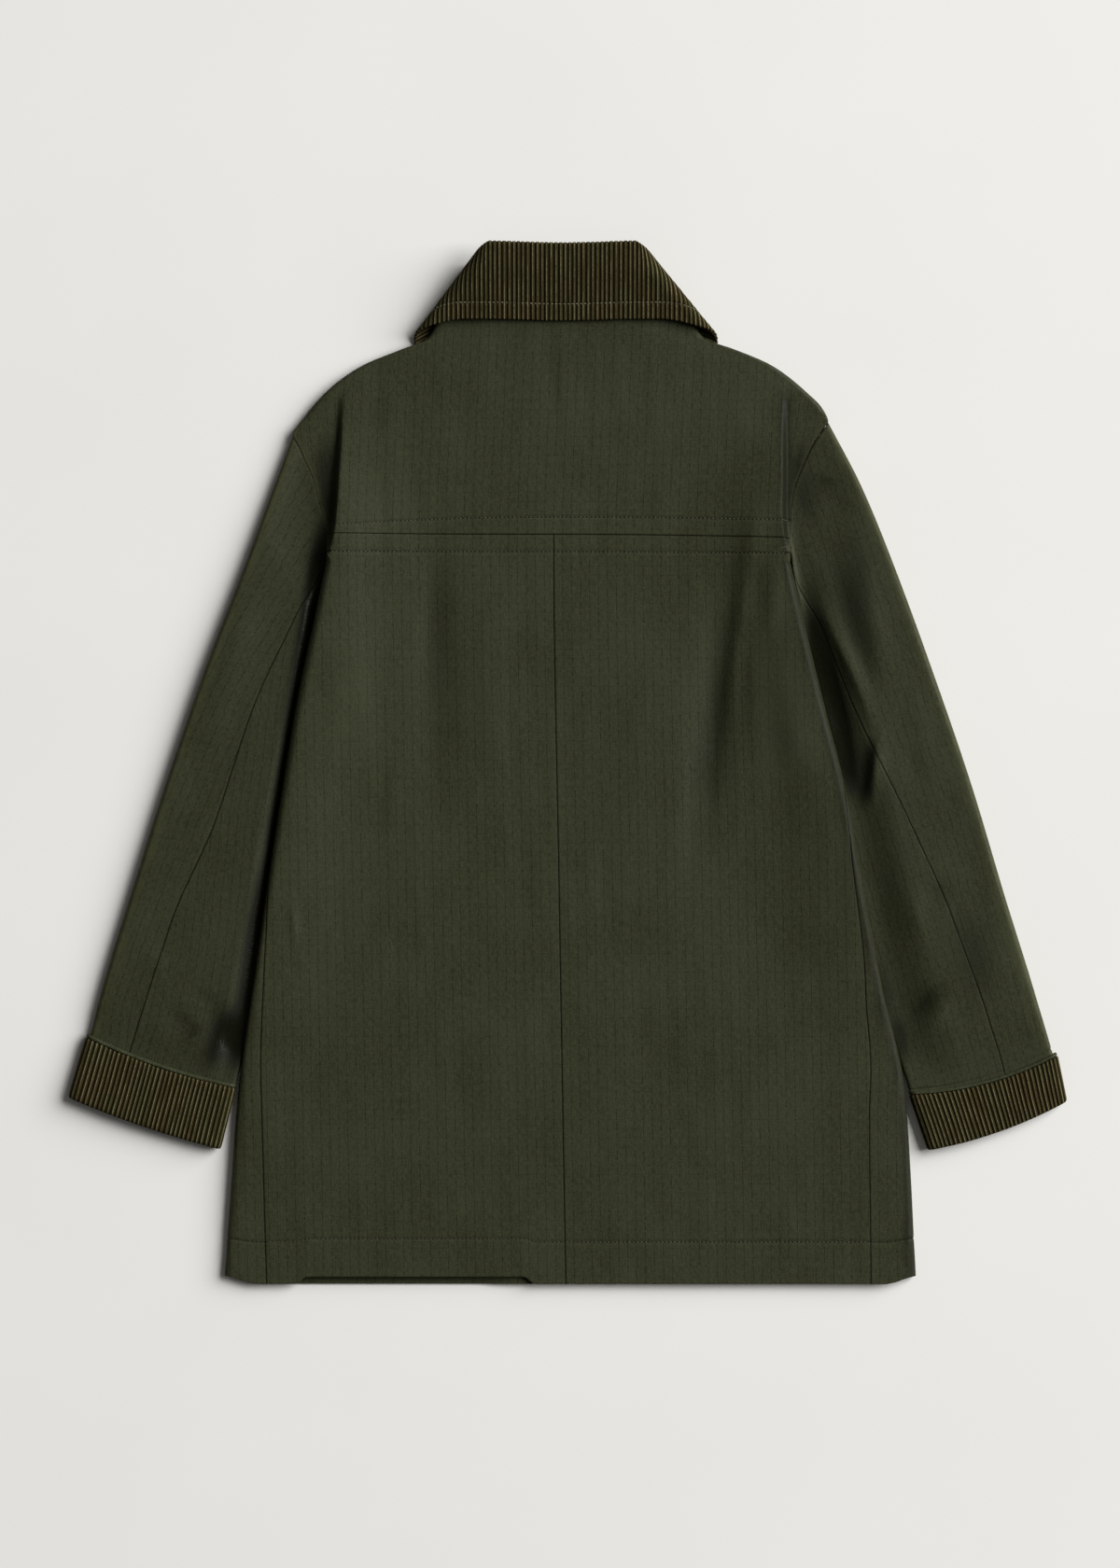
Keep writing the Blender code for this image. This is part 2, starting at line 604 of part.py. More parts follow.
def cuff_wall(side):
    """A turn-back cuff: wales on top and round both sides, and a plain underside."""
    length = ring_length(side)[-1]
    straight = length / 2 - CUFF_SIDE_ARC
    places, crest = wale_positions(length, 2.0, straight + 2 * CUFF_SIDE_ARC - 2.0, 9)
    places, crest = places[:-1] / length, crest[:-1]
    crest[0] = 1.0
    plain = np.linspace(0, 1, 36, endpoint=False)
    outer, inner = [], []
    for share, tight in CUFF_BANDS:
        sunk = WALE_HEIGHT if share < 1 else 0.0
        valley = along_ring(side, places, share, sunk + tight)
        peak = along_ring(side, places, share, tight)
        outer.append(np.where((crest > 0)[:, None], peak, valley))
        inner.append(along_ring(side, plain, min(share, 0.985), CORDUROY))
    return np.array(outer), np.array(inner), places, plain


def cuff_edge_wall(side):
    """The narrow oilskin edge that stands above the cuff's upper edge."""
    places = np.linspace(0, 1, 36, endpoint=False)
    outer, inner = [], []
    for above in (CUFF_EDGE + GAP, GAP):
        outer.append(along_ring(side, places, 0.0, CUFF_EDGE_INSET, above))
        inner.append(along_ring(side, places, 0.0, CUFF_EDGE_INSET + CLOTH, above))
    return np.array(outer), np.array(inner), places, places


LEAF_HEIGHT = Table("depth z", (0, 28.0), (20, 24.8), (35, 20.6), (50, 16.9), (58, 15.5), (70, 14.0))


def roll_under(x, up, layer):
    """Rolls the collar's flat strip under at both sides, round an axis along each side edge.

    The layer is the depth below the collar's outer face. Returns x, up and z.
    """
    x, up, layer = np.broadcast_arrays(np.asarray(x, float), up, layer)
    height = LEAF_HEIGHT("z", COLLAR_TOP - up)
    radius = height / 2
    new_x, new_up, z = x.copy(), np.array(up, float), height - layer
    for way, (top, low) in COLLAR_SIDES.items():
        edge = np.array(low) - np.array(top)
        edge = edge / np.hypot(*edge)
        out = np.array((-edge[1], edge[0])) * -way
        out = out if out[0] * way > 0 else -out
        past = (x - top[0]) * out[0] + (up - top[1]) * out[1] + radius
        turn = np.clip(past / radius, 0, math.pi)
        reach = (radius - layer) * np.sin(turn) - np.maximum(past - math.pi * radius, 0)
        rolled = past > 0
        new_x = np.where(rolled, x + (reach - past) * out[0], new_x)
        new_up = np.where(rolled, up + (reach - past) * out[1], new_up)
        z = np.where(rolled, radius + (radius - layer) * np.cos(turn), z)
    return np.stack((new_x, new_up, z), -1)


def neck_edge(side):
    """The fronts' neck edge, just inside the collar's fold, as (x, up) with up rising."""
    along = np.linspace(COLLAR_HALF + NECK_PAST_END, 60, 90)
    points = roll_under(COLLAR_CENTRE - inward(side) * along, COLLAR_TOP - NECK_INSET, COLLAR_LIFT)
    under = points[points[:, 2] < COLLAR_LIFT + 0.2]
    return under[np.argsort(under[:, 1])]


NECK_EDGE = {side: neck_edge(side) for side in ("left", "right")}


def leaf_depth(x):
    """The leaf is cut deeper towards its front points."""
    return 1 + 0.13 * smooth((np.abs(x - COLLAR_CENTRE) - 74) / 42)


def leaf_wall():
    """The collar's leaf: wales over the back and round its sides, plain where it lies under."""
    half_ribbed = WALE * round(126.0 / WALE)
    places, crest = wale_positions(2 * COLLAR_HALF, COLLAR_HALF - half_ribbed, COLLAR_HALF + half_ribbed, 8)
    x = COLLAR_CENTRE + places - COLLAR_HALF
    side_x = np.concatenate((np.linspace(42, 132, 19), np.linspace(132, COLLAR_HALF, 4)[1:]))
    plain_x = COLLAR_CENTRE + np.concatenate((-side_x[::-1], np.linspace(-42, 42, 5)[1:-1], side_x))
    bend = FOLD_BEND
    # Across the leaf: distance past the fold, layer of the outer face, and the same of the inner face.
    profile = (
        (5.0, 2 * bend, 5.0, 2 * bend - CORDUROY),
        (0.9, 1.7 * bend, 2.6, 2 * bend - CORDUROY),
        (0.0, bend, 2.5, bend),
        (0.9, 0.3 * bend, 2.6, CORDUROY),
        (5.0, 0.0, 5.0, CORDUROY),
        (14.0, 0.0, 14.0, CORDUROY),
        (24.0, 0.0, 24.0, CORDUROY),
        (34.0, 0.0, 34.0, CORDUROY),
        (45.0, 0.0, 45.0, CORDUROY),
        (LEAF_DEPTH - 1.5, 0.0, LEAF_DEPTH - 1.5, CORDUROY),
        (LEAF_DEPTH, RIM_LAYER, LEAF_DEPTH, CORDUROY),
    )
    outer, inner = [], []
    for depth, layer, inner_depth, inner_layer in profile:
        depth, inner_depth = depth * leaf_depth(x), inner_depth * leaf_depth(plain_x)
        flat = roll_under(x, COLLAR_TOP - depth, layer)
        under = smooth((WALE_HEIGHT + 3.0 - flat[:, 2]) / 2.0) * (layer < 1.0)
        ribbed = layer < 2 * bend - 0.1 and layer != RIM_LAYER
        sunk = WALE_HEIGHT * (1 - crest) * (1 - under) * ribbed
        outer.append(roll_under(x, COLLAR_TOP - depth - sunk * (layer > 1.0), layer + sunk * (layer <= 1.0)))
        inner.append(roll_under(plain_x, COLLAR_TOP - inner_depth, inner_layer))
    span = 2 * COLLAR_HALF
    return np.array(outer), np.array(inner), places / span, (plain_x - plain_x[0]) / span


def stand_wall():
    """The stand, from the fold down to the yoke's neck edge, under the leaf."""
    side_x = np.linspace(44, STAND_HALF, 11)
    x = COLLAR_CENTRE + np.concatenate((-side_x[::-1], np.linspace(-44, 44, 6)[1:-1], side_x))
    outer, inner = [], []
    for depth in (5.0 + GAP, 14.0, 24.0, STAND_DEPTH):
        layer = STAND_LAYERS[0] + (STAND_LAYERS[1] - STAND_LAYERS[0]) * smooth(depth / STAND_DEPTH)
        outer.append(roll_under(x, COLLAR_TOP - depth, layer))
        inner.append(roll_under(x, COLLAR_TOP - depth, layer + CLOTH))
    return np.array(outer), np.array(inner)


def strip(first, second, at_first, at_second):
    """Triangles between two lines of vertices, matched by each vertex's share of the way along."""
    faces, i, j = [], 0, 0
    while i < len(first) - 1 or j < len(second) - 1:
        if j == len(second) - 1 or (i < len(first) - 1 and at_first[i + 1] <= at_second[j + 1]):
            faces.append((first[i], first[i + 1], second[j]))
            i += 1
        else:
            faces.append((first[i], second[j + 1], second[j]))
            j += 1
    return faces


def placed(x, up, z):
    """A point of the jacket in metres, with the whole jacket's middle at the origin."""
    return (x - ORIGIN[0]) * MM, (up - ORIGIN[1]) * MM, z * MM


def wall_object(name, faces_pair, colour, roughness, ring=False):
    """One closed wall from the grids of its outer and inner faces, and each column's share if given."""
    outer, inner = faces_pair[:2]
    shares = faces_pair[2:] or [np.linspace(0, 1, outer.shape[1]), np.linspace(0, 1, inner.shape[1])]
    if ring:
        shares = [np.append(share, 1.0) for share in shares]
    mesh = bmesh.new()
    grids = []
    for grid in (outer, inner):
        grids.append([[mesh.verts.new(placed(*point)) for point in row] for row in grid])
    for grid, flip in zip(grids, (False, True)):
        columns = len(grid[0])
        for low, high in zip(grid, grid[1:]):
            for k in range(columns if ring else columns - 1):
                n = (k + 1) % columns
                corners = (low[k], low[n], high[n], high[k])
                mesh.faces.new(corners[::-1] if flip else corners)
    for end in (0, -1):
        lines = [grid[end] + ([grid[end][0]] if ring else []) for grid in grids]
        for corners in strip(*lines, *shares):
            mesh.faces.new(corners if end else corners[::-1])
    if not ring:
        for k in (0, -1):
            for low, high in zip(range(len(outer) - 1), range(1, len(outer))):
                corners = (grids[0][low][k], grids[0][high][k], grids[1][high][k], grids[1][low][k])
                mesh.faces.new(corners if k == 0 else corners[::-1])
    bmesh.ops.triangulate(mesh, faces=mesh.faces)
    bmesh.ops.recalc_face_normals(mesh, faces=mesh.faces)
    data = bpy.data.meshes.new(name)
    mesh.to_mesh(data)
    mesh.free()
    data.shade_smooth()
    data.set_sharp_from_angle(angle=math.radians(50))
    piece = bpy.data.objects.new(name, data)
    bpy.context.scene.collection.objects.link(piece)
    piece.data.materials.append(cloth_material(name, colour, roughness))
    return piece


def cloth_material(name, colour, roughness):
    material = bpy.data.materials.new(name)
    material.use_nodes = True
    shader = material.node_tree.nodes["Principled BSDF"]
    shader.inputs["Base Color"].default_value = colour
    shader.inputs["Roughness"].default_value = roughness
    shader.inputs["Metallic"].default_value = 0.0
    return material


def oilskin(name, faces_pair, ring=False):
    return wall_object(name, faces_pair, OILSKIN_COLOUR, 0.55, ring)


def corduroy(name, faces_pair, ring=False):
    return wall_object(name, faces_pair, CORDUROY_COLOUR, 0.9, ring)


def main():
    for piece in list(bpy.data.objects):
        bpy.data.objects.remove(piece, do_unlink=True)
    oilskin("back_yoke", yoke_panel())
    for side in ("left", "right"):
        oilskin("back_" + side, back_panel(side))
        oilskin("front_" + side, front_panel(side))
        top, under = sleeve_panels(side)
        oilskin("sleeve_" + side + "_top", top)
        oilskin("sleeve_" + side + "_under", under)
        corduroy("cuff_" + side, cuff_wall(side), ring=True)
        oilskin("cuff_edge_" + side, cuff_edge_wall(side), ring=True)
    corduroy("collar_leaf", leaf_wall())
    oilskin("collar_stand", stand_wall())


main()
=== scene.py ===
"""The oilskin jacket's looks: fine cloth, corduroy, seams, stitches, light and camera.

Each cut piece is a thin closed shell on its solid's form, made from the same named sizes. Sizes are
in millimetres and become metres in the mesh. "up" is the distance above the hem along the back, x
runs to the right as the back is seen, and z is the height above the surface that the jacket lies on.
"""
import math

import bmesh
import bpy
import numpy as np
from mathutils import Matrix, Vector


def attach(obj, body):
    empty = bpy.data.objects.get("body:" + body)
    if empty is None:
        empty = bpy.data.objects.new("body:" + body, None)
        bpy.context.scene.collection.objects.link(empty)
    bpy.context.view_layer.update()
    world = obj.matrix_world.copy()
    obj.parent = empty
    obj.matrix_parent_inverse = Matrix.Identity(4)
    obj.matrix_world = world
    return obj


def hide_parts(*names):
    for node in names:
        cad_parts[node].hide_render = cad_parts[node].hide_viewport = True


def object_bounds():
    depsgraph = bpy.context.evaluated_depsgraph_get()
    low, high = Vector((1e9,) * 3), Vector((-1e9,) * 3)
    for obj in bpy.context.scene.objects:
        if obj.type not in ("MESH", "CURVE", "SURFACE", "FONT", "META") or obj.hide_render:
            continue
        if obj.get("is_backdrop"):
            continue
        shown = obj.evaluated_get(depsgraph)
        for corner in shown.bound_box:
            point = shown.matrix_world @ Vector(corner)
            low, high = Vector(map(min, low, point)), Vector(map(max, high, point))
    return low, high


bl_info = {
    "name": "Oilskin jacket",
    "version": (1, 0, 0),
    "blender": (4, 5, 0),
    "location": "3D View > Sidebar > Jacket",
    "description": "Dresses an oilskin jacket with corduroy collar and cuffs, laid on its front",
    "category": "Object",
}

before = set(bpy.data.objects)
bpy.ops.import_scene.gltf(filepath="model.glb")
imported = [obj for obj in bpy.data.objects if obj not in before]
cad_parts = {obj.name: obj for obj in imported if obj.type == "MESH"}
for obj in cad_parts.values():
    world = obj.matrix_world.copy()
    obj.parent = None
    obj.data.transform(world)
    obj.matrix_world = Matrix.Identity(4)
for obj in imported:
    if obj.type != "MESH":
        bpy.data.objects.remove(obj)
CAD_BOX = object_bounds()

MM = 0.001
ORIGIN = (0.2, 390.55)    # x and up of the middle of the whole jacket
BOTH = ("left", "right")
CLOTH = 1.3
CORDUROY = 2.4
GAP = 0.3                 # between neighbouring pieces

COLLAR_CENTRE = -3.5
COLLAR_TOP = 780.5
COLLAR_HALF = 200.0
COLLAR_SIDES = {-1: ((-63.0, 780.5), (-115.5, 711.5)), 1: ((55.3, 780.5), (112.7, 711.5))}
COLLAR_SAG = 1.3          # the fold's dip between its two ends
SAG_HALF = 58.0
COLLAR_STITCH = 45.5      # depth of the leaf's row of stitches
COLLAR_GROOVE = 0.55
COLLAR_SEWN = 112.0       # how far to each side the row of stitches shows
LEAF_POINT = (0.13, 74.0, 42.0)     # how much deeper, from how far out, and over how much
CORNER = 0.25             # at the fold the sides are rolled this much tighter than they are high
CORNER_DEPTH = 22.0
LEAF_DEPTH = 58.0
LEAF_EDGE = 1.2           # radius of the leaf's lower edge
FOLD_BEND = 2.8
UNDER_FOLD = 5.0          # depth at which the leaf ends and the stand begins, under the fold
NECK_INSET = 9.5
NECK_PAST_END = 14.0
STAND_DEPTH = 34.0
STAND_HALF = 72.0
STAND_LAYERS = (4.4, 3.3)

OVERLAP = 16.0
OVERLAP_LIFT = 2.6        # the left front over the right one
OVERLAP_RISE = (54.0, 32.0)         # it begins this far before the right one's edge, over this much
HEM_BAND = 60.0           # up to which a hem's bends reach
HEM_CORNER = 6.0          # how far the corners are rounded up
HEM_ROUND = (232.0, 238.0, 24.0)    # how far out they begin, left and right, and over how much
HEM_RIDE = 5.4            # how far the back hem rides up over the left front
HEM_SHOWN = (-204.0, -24.0, 9.0)    # the x of both ends of that, and how they fade
HEM_UP = {"front": 0.6, "back": 0.8}          # how far up the whole of each hem is moved
CUFF_THICK = 10.5
CUFF_ROLL = 7.0
CUFF_EDGE = 2.5
CUFF_EDGE_INSET = 0.5
CUFF_DEPTH = 48.0
CUFF_SWELL = 0.7
CUFF_EDGE_WEAR = 0.15

YOKE_SEAM = 562.0         # up of the yoke seam at the centre back
YOKE_STITCH = 13.0        # each row of stitches beside it
HEM_STITCH = 32.0
SEAM_GROOVE = 0.20        # how deep a piece's edge turns down at a seam
SEAM_WIDTH = 0.9
STITCH_GROOVE = (0.35, 1.3)     # depth and half width
BAND_GROOVE = (0.5, 0.9)
SEWN_IN = (0.2, 0.35)     # a seam's dark line is this wide, and fades over this much more
STITCH_FAR = 3.0
STITCH_END = 1.4          # how far from a side seam a row of stitches ends
EDGE_STEPS = (0.0, 0.35, 0.8, 1.4, 2.2, 3.2)    # columns beside a seam
FINE = 90
TURN_WEIGHT = 9.0         # millimetres of length that one radian of turning counts as
ROW_STEP = 3.0
BACK_COLUMNS = 84
FRONT_COLUMNS = 40
TOP_SLEEVE_COLUMNS = 56
UNDER_SLEEVE_COLUMNS = 48

WAVES = 0.25
STREAKS = 0.12
WALE = 3.52
WALE_HEIGHT = 0.9
WALE_POINTS = (0.0, 0.07, 0.19, 0.36, 0.5, 0.64, 0.81, 0.93)


class Table:
    """Rows of numbers under named columns, read smoothly along the first column."""

    def __init__(self, names, *rows):
        self.columns = {name: np.array(values, float) for name, values in zip(names.split(), zip(*rows))}
        self.key = self.columns[names.split()[0]]

    def __call__(self, name, at):
        return curve(self.key, self.columns[name], at)


def curve(knots, values, at):
    """A smooth curve through the values that doesn't overshoot between them."""
    step = np.diff(knots)
    rise = np.diff(values) / step
    slope = np.concatenate((rise[:1], np.zeros(len(knots) - 2), rise[-1:]))
    for k in range(1, len(knots) - 1):
        if rise[k - 1] * rise[k] > 0:
            slope[k] = 2 * rise[k - 1] * rise[k] / (rise[k - 1] + rise[k])
    at = np.clip(at, knots[0], knots[-1])
    k = np.clip(np.searchsorted(knots, at) - 1, 0, len(step) - 1)
    t = (at - knots[k]) / step[k]
    start = values[k] * (1 + 2 * t) * (1 - t) ** 2 + slope[k] * step[k] * t * (1 - t) ** 2
    end = values[k + 1] * t * t * (3 - 2 * t) - slope[k + 1] * step[k] * t * t * (1 - t)
    return start + end


def smooth(t):
    """A soft step from 0 to 1."""
    t = np.clip(t, 0.0, 1.0)
    return t * t * (3 - 2 * t)


# The torso's side folds, from the hem to the underarm.
SIDES = Table(
    "up left right",
    (0, -256.9, 261.1), (88, -251.3, 256.9), (148, -246.4, 252.5), (221, -235.9, 235.9),
    (298, -224.7, 221.2), (368, -213.9, 208.6), (438, -202.3, 191.1), (501, -189.0, 175.7),
    (541, -180.6, 166.5))
# How far inside the side fold the side seam lies, below zero where it is underneath.
SIDE_SEAM = Table(
    "up left right",
    (0, 31.5, 34.0), (123, 20.0, 29.0), (190, 11.5, 18.5), (250, 5.5, 9.0), (300, 1.5, 6.0),
    (357, -6.0, 3.0), (420, -12.0, -5.0), (480, -12.0, -12.0), (541, 0.0, 0.0))
# The centre-back seam, and above the yoke seam the middle of the yoke.
CENTRE_BACK = Table("up x", (0, -1.4), (291, -6.3), (562, -10.5), (640, -8.0), (750, -3.5))
# Rows from the underarm to the neck, by the up of their middle: the end of each on both sides,
# and how round its fold is.
SHOULDERS = Table(
    "centre left_x left_up right_x right_up roll",
    (541.0, -180.6, 541.0, 166.5, 541.0, 5.0),
    (551.6, -180.4, 551.8, 166.8, 549.6, 0.15),
    (562.0, -180.6, 562.8, 167.0, 559.3, 0.15),
    (579.6, -182.4, 570.5, 167.4, 576.8, 0.15),
    (599.2, -186.2, 585.2, 169.4, 593.6, 0.15),
    (620.2, -191.8, 606.2, 176.4, 613.2, 0.15),
    (639.1, -198.8, 621.6, 186.2, 633.5, 0.15),
    (647.3, -202.3, 629.4, 190.9, 640.3, 0.15),
    (655.2, -205.8, 637.0, 195.3, 646.8, 0.15),
    (666.0, -198.0, 649.0, 191.0, 656.5, 5.0),
    (685.3, -180.6, 669.2, 178.5, 669.2, 6.0),
    (702.5, -155.0, 688.0, 153.5, 688.5, 8.0),
    (716.5, -121.0, 702.0, 121.5, 702.0, 11.0),
    (724.5, -105.0, 708.5, 103.5, 708.0, 8.0),
    (736.5, -94.5, 728.0, 90.5, 728.0, 5.5),
    (746.0, -82.0, 743.0, 77.5, 743.0, 5.0))
UNDERARM = 541.0          # the last row that ends on the side fold
UNDERARM_FADE = 10.6      # in which that fold passes into the armhole seam
SHOULDER_TIP = 655.2
TOP_ROW = 746.0

# Height of the back's outer face along its middle, and how much higher it is beside the side folds.
BACK_LEVEL = Table(
    "up level side_rise",
    (0, 6.8, 0.0), (60, 8.0, 0.0), (170, 9.0, 0.5), (230, 9.0, 2.4), (300, 9.0, 3.0), (450, 9.4, 4.5),
    (560, 9.8, 5.0), (620, 10.0, 3.5), (670, 9.8, 0.0), (700, 10.2, -1.0), (715, 10.9, -1.5),
    (727, 12.0, -2.0), (738, 14.6, -2.0), (746, 17.4, -3.5))
# The back stands this much higher beside its side folds than its solid does.
PUFF = Table("up height", (0, 0.0), (170, 0.0), (240, 1.5), (320, 3.0), (470, 4.0), (560, 4.0),
             (640, 1.5), (680, 0.0))
RISE_WIDTH = 45.0
PUFF_FADE = 14.0          # above the underarm, the drop takes up that height in this much
RELIEF_FADE = 12.0        # beside the side fold, the fine relief fades in over this much
# The crisp fold beside each armhole, past which the back drops to the armhole seam.
ARMHOLE_FOLD = Table(
    "up left right drop",
    (541, -181.5, 168.0, 0.0), (551, -179.0, 166.8, 4.0), (562, -176.5, 163.5, 7.5),
    (580, -174.3, 162.0, 8.0), (613, -172.2, 162.5, 7.5), (640, -170.5, 162.5, 4.5),
    (668, -169.4, 162.5, 0.0))
DROP_WIDTH = 5.0
# How far the torso's side fold overlaps the sleeve, how high it lies over it, and how round it is.
TUCK = Table(
    "up tuck lift roll",
    (0, 0.0, 0.0, 3.6), (110, 0.0, 0.0, 4.4), (150, 0.0, 0.3, 4.6), (190, 2.5, 3.6, 4.0),
    (230, 5.0, 5.5, 3.6), (300, 7.0, 5.5, 5.0), (450, 10.0, 5.5, 6.0), (510, 5.0, 5.5, 6.0),
    (541, 0.0, 5.5, 5.0))
RAMP_FROM = 2.0       # this far inside the tuck, a front begins to slope down
RAMP = 18.0           # and it reaches the surface in this much
COLLAR_LIFT = 3.4     # the fronts over the collar's front ends
LIFT_FROM = 592.0
LIFT_FADE = 28.0
LIFT_HALF = 118.0
LEAF_HEIGHT = Table("depth z", (0, 28.0), (20, 24.8), (35, 20.6), (50, 16.9), (58, 15.5), (70, 14.0))

# Stations of the sleeves: the outer fold, the up of the inner fold, the height, and how far from
# the outer fold the back seam lies, as a share of the width.
STATION = "at outer_x outer_up inner_up level seam"
SLEEVES = {
    "left": Table(
        STATION,
        (0.00, -205.8, 636.3, 541.0, 8.0, 0.90),
        (0.07, -224.7, 585.2, 506.0, 9.5, 0.78),
        (0.17, -240.1, 543.2, 473.0, 10.5, 0.65),
        (0.36, -272.3, 459.2, 395.0, 11.0, 0.49),
        (0.55, -301.0, 375.2, 316.0, 10.5, 0.44),
        (0.74, -327.6, 291.2, 237.0, 10.0, 0.32),
        (0.91, -350.7, 214.2, 172.0, 9.3, 0.29),
        (0.98, -356.2, 191.1, 153.5, 7.7, 0.28),
        (1.00, -357.8, 184.5, 148.2, 7.6, 0.275)),
    "right": Table(
        STATION,
        (0.00, 195.6, 646.0, 541.0, 8.0, 0.91),
        (0.07, 219.8, 599.2, 506.0, 9.5, 0.86),
        (0.17, 242.9, 543.2, 473.0, 10.5, 0.75),
        (0.36, 273.7, 459.2, 395.0, 11.0, 0.65),
        (0.55, 302.4, 375.2, 316.0, 10.5, 0.50),
        (0.74, 327.6, 291.2, 237.0, 10.0, 0.38),
        (0.91, 352.0, 212.0, 170.0, 9.3, 0.35),
        (0.98, 360.2, 181.0, 150.2, 7.7, 0.35),
        (1.00, 362.5, 172.2, 144.5, 7.6, 0.35)),
}
SLEEVE_LENGTH = 480.0
SLEEVE_SEAM_UNDER = 0.80    # the hidden seam, as a share of the width from the outer fold
SLEEVE_INNER = 4.6          # height of the sleeve's inner fold, under the torso's side
SLEEVE_RISE = {"left": 17.0, "right": 34.0}     # from the inner fold up to the sleeve's full height
SLEEVE_BASE = 2.8           # the sleeve's underside inside the cuff
SLEEVE_INSET = 3.7          # from the cuff's sides to the sleeve inside it
SLEEVE_BAND = {"left": 0.0, "right": 6.2}       # a seam this far above the cuff
CUFF_FROM = 0.90            # the station from which the sleeve is led into the cuff
ARMHOLE_CLEAR = -0.25       # from the armhole seam to the sleeve
ARMHOLE_FADE = 16.0         # in which that seam sinks to the height of the inner fold
SLEEVE_ROLL = (4.0, 2.8)    # radius of the outer and of the inner fold
HEAD_ROLL = 6.0             # how much rounder the inner fold is at the sleeve's head
HEAD_END = 0.12             # the station at which the head ends
RISE_FROM = 0.35            # the share of the rise that stays low
BASE_RISE = 0.08            # the stations in which the underside rises into the cuff
SLEEVE_FADE = 18.0          # beside its folds, the sleeve's relief fades in over this much
ARM = (0.1, 0.95)           # the arm's direction is that from one station to the other

# Each cuff's upper and lower edge, from the sleeve's outer fold to its inner fold, and their bows.
CUFFS = {
    "left": {"top": ((-361.2, 186.2), (-248.0, 147.5)), "bottom": ((-374.5, 140.7), (-259.5, 101.5)),
             "bow": (4.0, 2.5)},
    "right": {"top": ((367.5, 172.2), (255.2, 142.6)), "bottom": ((374.5, 137.9), (269.5, 100.8)),
              "bow": (7.0, 4.6)},
}
# Rows of a cuff by their share of its depth, and how far each is drawn in at the rolled edges.
CUFF_ROWS = (
    (0.0, 1.5), (0.006, 0.9), (0.014, 0.4), (0.03, 0.1), (0.06, 0.0), (0.12, 0.0), (0.18, 0.0),
    (0.25, 0.0), (0.32, 0.0), (0.39, 0.0), (0.46, 0.0), (0.53, 0.0), (0.6, 0.0), (0.67, 0.0),
    (0.74, 0.0), (0.81, 0.0), (0.87, 0.0), (0.92, 0.0), (0.95, 0.05), (0.972, 0.3), (0.986, 0.7),
    (0.995, 1.2), (1.0, 1.8))

# Soft folds as fold_height reads them. These long ones are in the solids too.
BACK_FOLDS = (
    (-99, 590, -97, 315, 19, -2.4), (129, 570, 96, 270, 17, -2.8), (-160, 520, -168, 360, 17, 1.8),
    (158, 480, 186, 330, 15, 1.8), (-30, 260, -60, 120, 30, 0.9), (80, 215, 66, 110, 22, -1.1))
SLEEVE_FOLDS = {
    "left": (
        (-232, 540, -268, 400, 14, 1.4), (-300, 215, -276, 178, 12, -1.6),
        (-325, 250, -290, 236, 10, 1.0)),
    "right": (
        (186, 575, 228, 440, 11, -2.2), (205, 560, 246, 420, 12, 1.4),
        (286, 232, 247, 190, 8, -1.8, 0.6), (290, 214, 256, 178, 8, 1.6, 0.6),
        (262, 300, 288, 286, 9, -1.2)),
}
# Finer folds than the solids hold.
BACK_CREASES = (
    (98, 290, 127, 592, 15, -2.2, 0.45), (118, 400, 141, 592, 6, 1.5), (150, 466, 157, 562, 6, 1.0),
    (-101, 596, -102, 410, 12, -1.0, 0.6), (-86, 590, -84, 440, 7, 0.5), (141, 602, 138, 520, 7, 0.9),
    (-128, 414, -133, 298, 5, 0.35), (-138, 404, -143, 306, 5, -0.3), (-206, 298, -202, 236, 3.0, 0.6),
    (-200, 300, -197, 246, 3.5, -0.4), (-140, 610, -146, 470, 14, -0.7), (-60, 560, -54, 330, 16, 0.7),
    (60, 540, 48, 300, 18, 0.6), (160, 330, 150, 180, 20, -0.8), (-170, 300, -190, 120, 18, -0.7),
    (20, 250, 35, 60, 22, 0.6), (190, 300, 214, 130, 12, 0.5), (-120, 680, -150, 610, 10, 0.5),
    (112, 690, 140, 620, 11, 0.5))
SLEEVE_CREASES = {
    "left": (
        (-296, 214, -268, 190, 5, 0.8), (-286, 224, -258, 206, 5, -0.7), (-268, 228, -247, 148, 11, -2.6),
        (-238, 470, -262, 360, 9, -0.7), (-285, 420, -300, 330, 8, 0.5), (-318, 300, -330, 240, 6, 0.5)),
    "right": (
        (182, 528, 236, 404, 8, 2.6, 0.45), (236, 420, 221, 346, 7, 2.2, 0.45),
        (186, 508, 222, 358, 8, -2.2), (186, 608, 214, 570, 6, -1.3), (196, 634, 203, 612, 2.5, 0.9),
        (255, 412, 262, 364, 7, -0.9), (337, 250, 339, 216, 2.6, 0.5), (342, 210, 345, 184, 2.4, 0.5),
        (283, 378, 288, 350, 5, -0.5), (250, 470, 276, 380, 8, 0.6), (300, 330, 318, 250, 8, -0.5),
        (256, 300, 268, 250, 6, 0.6)),
}
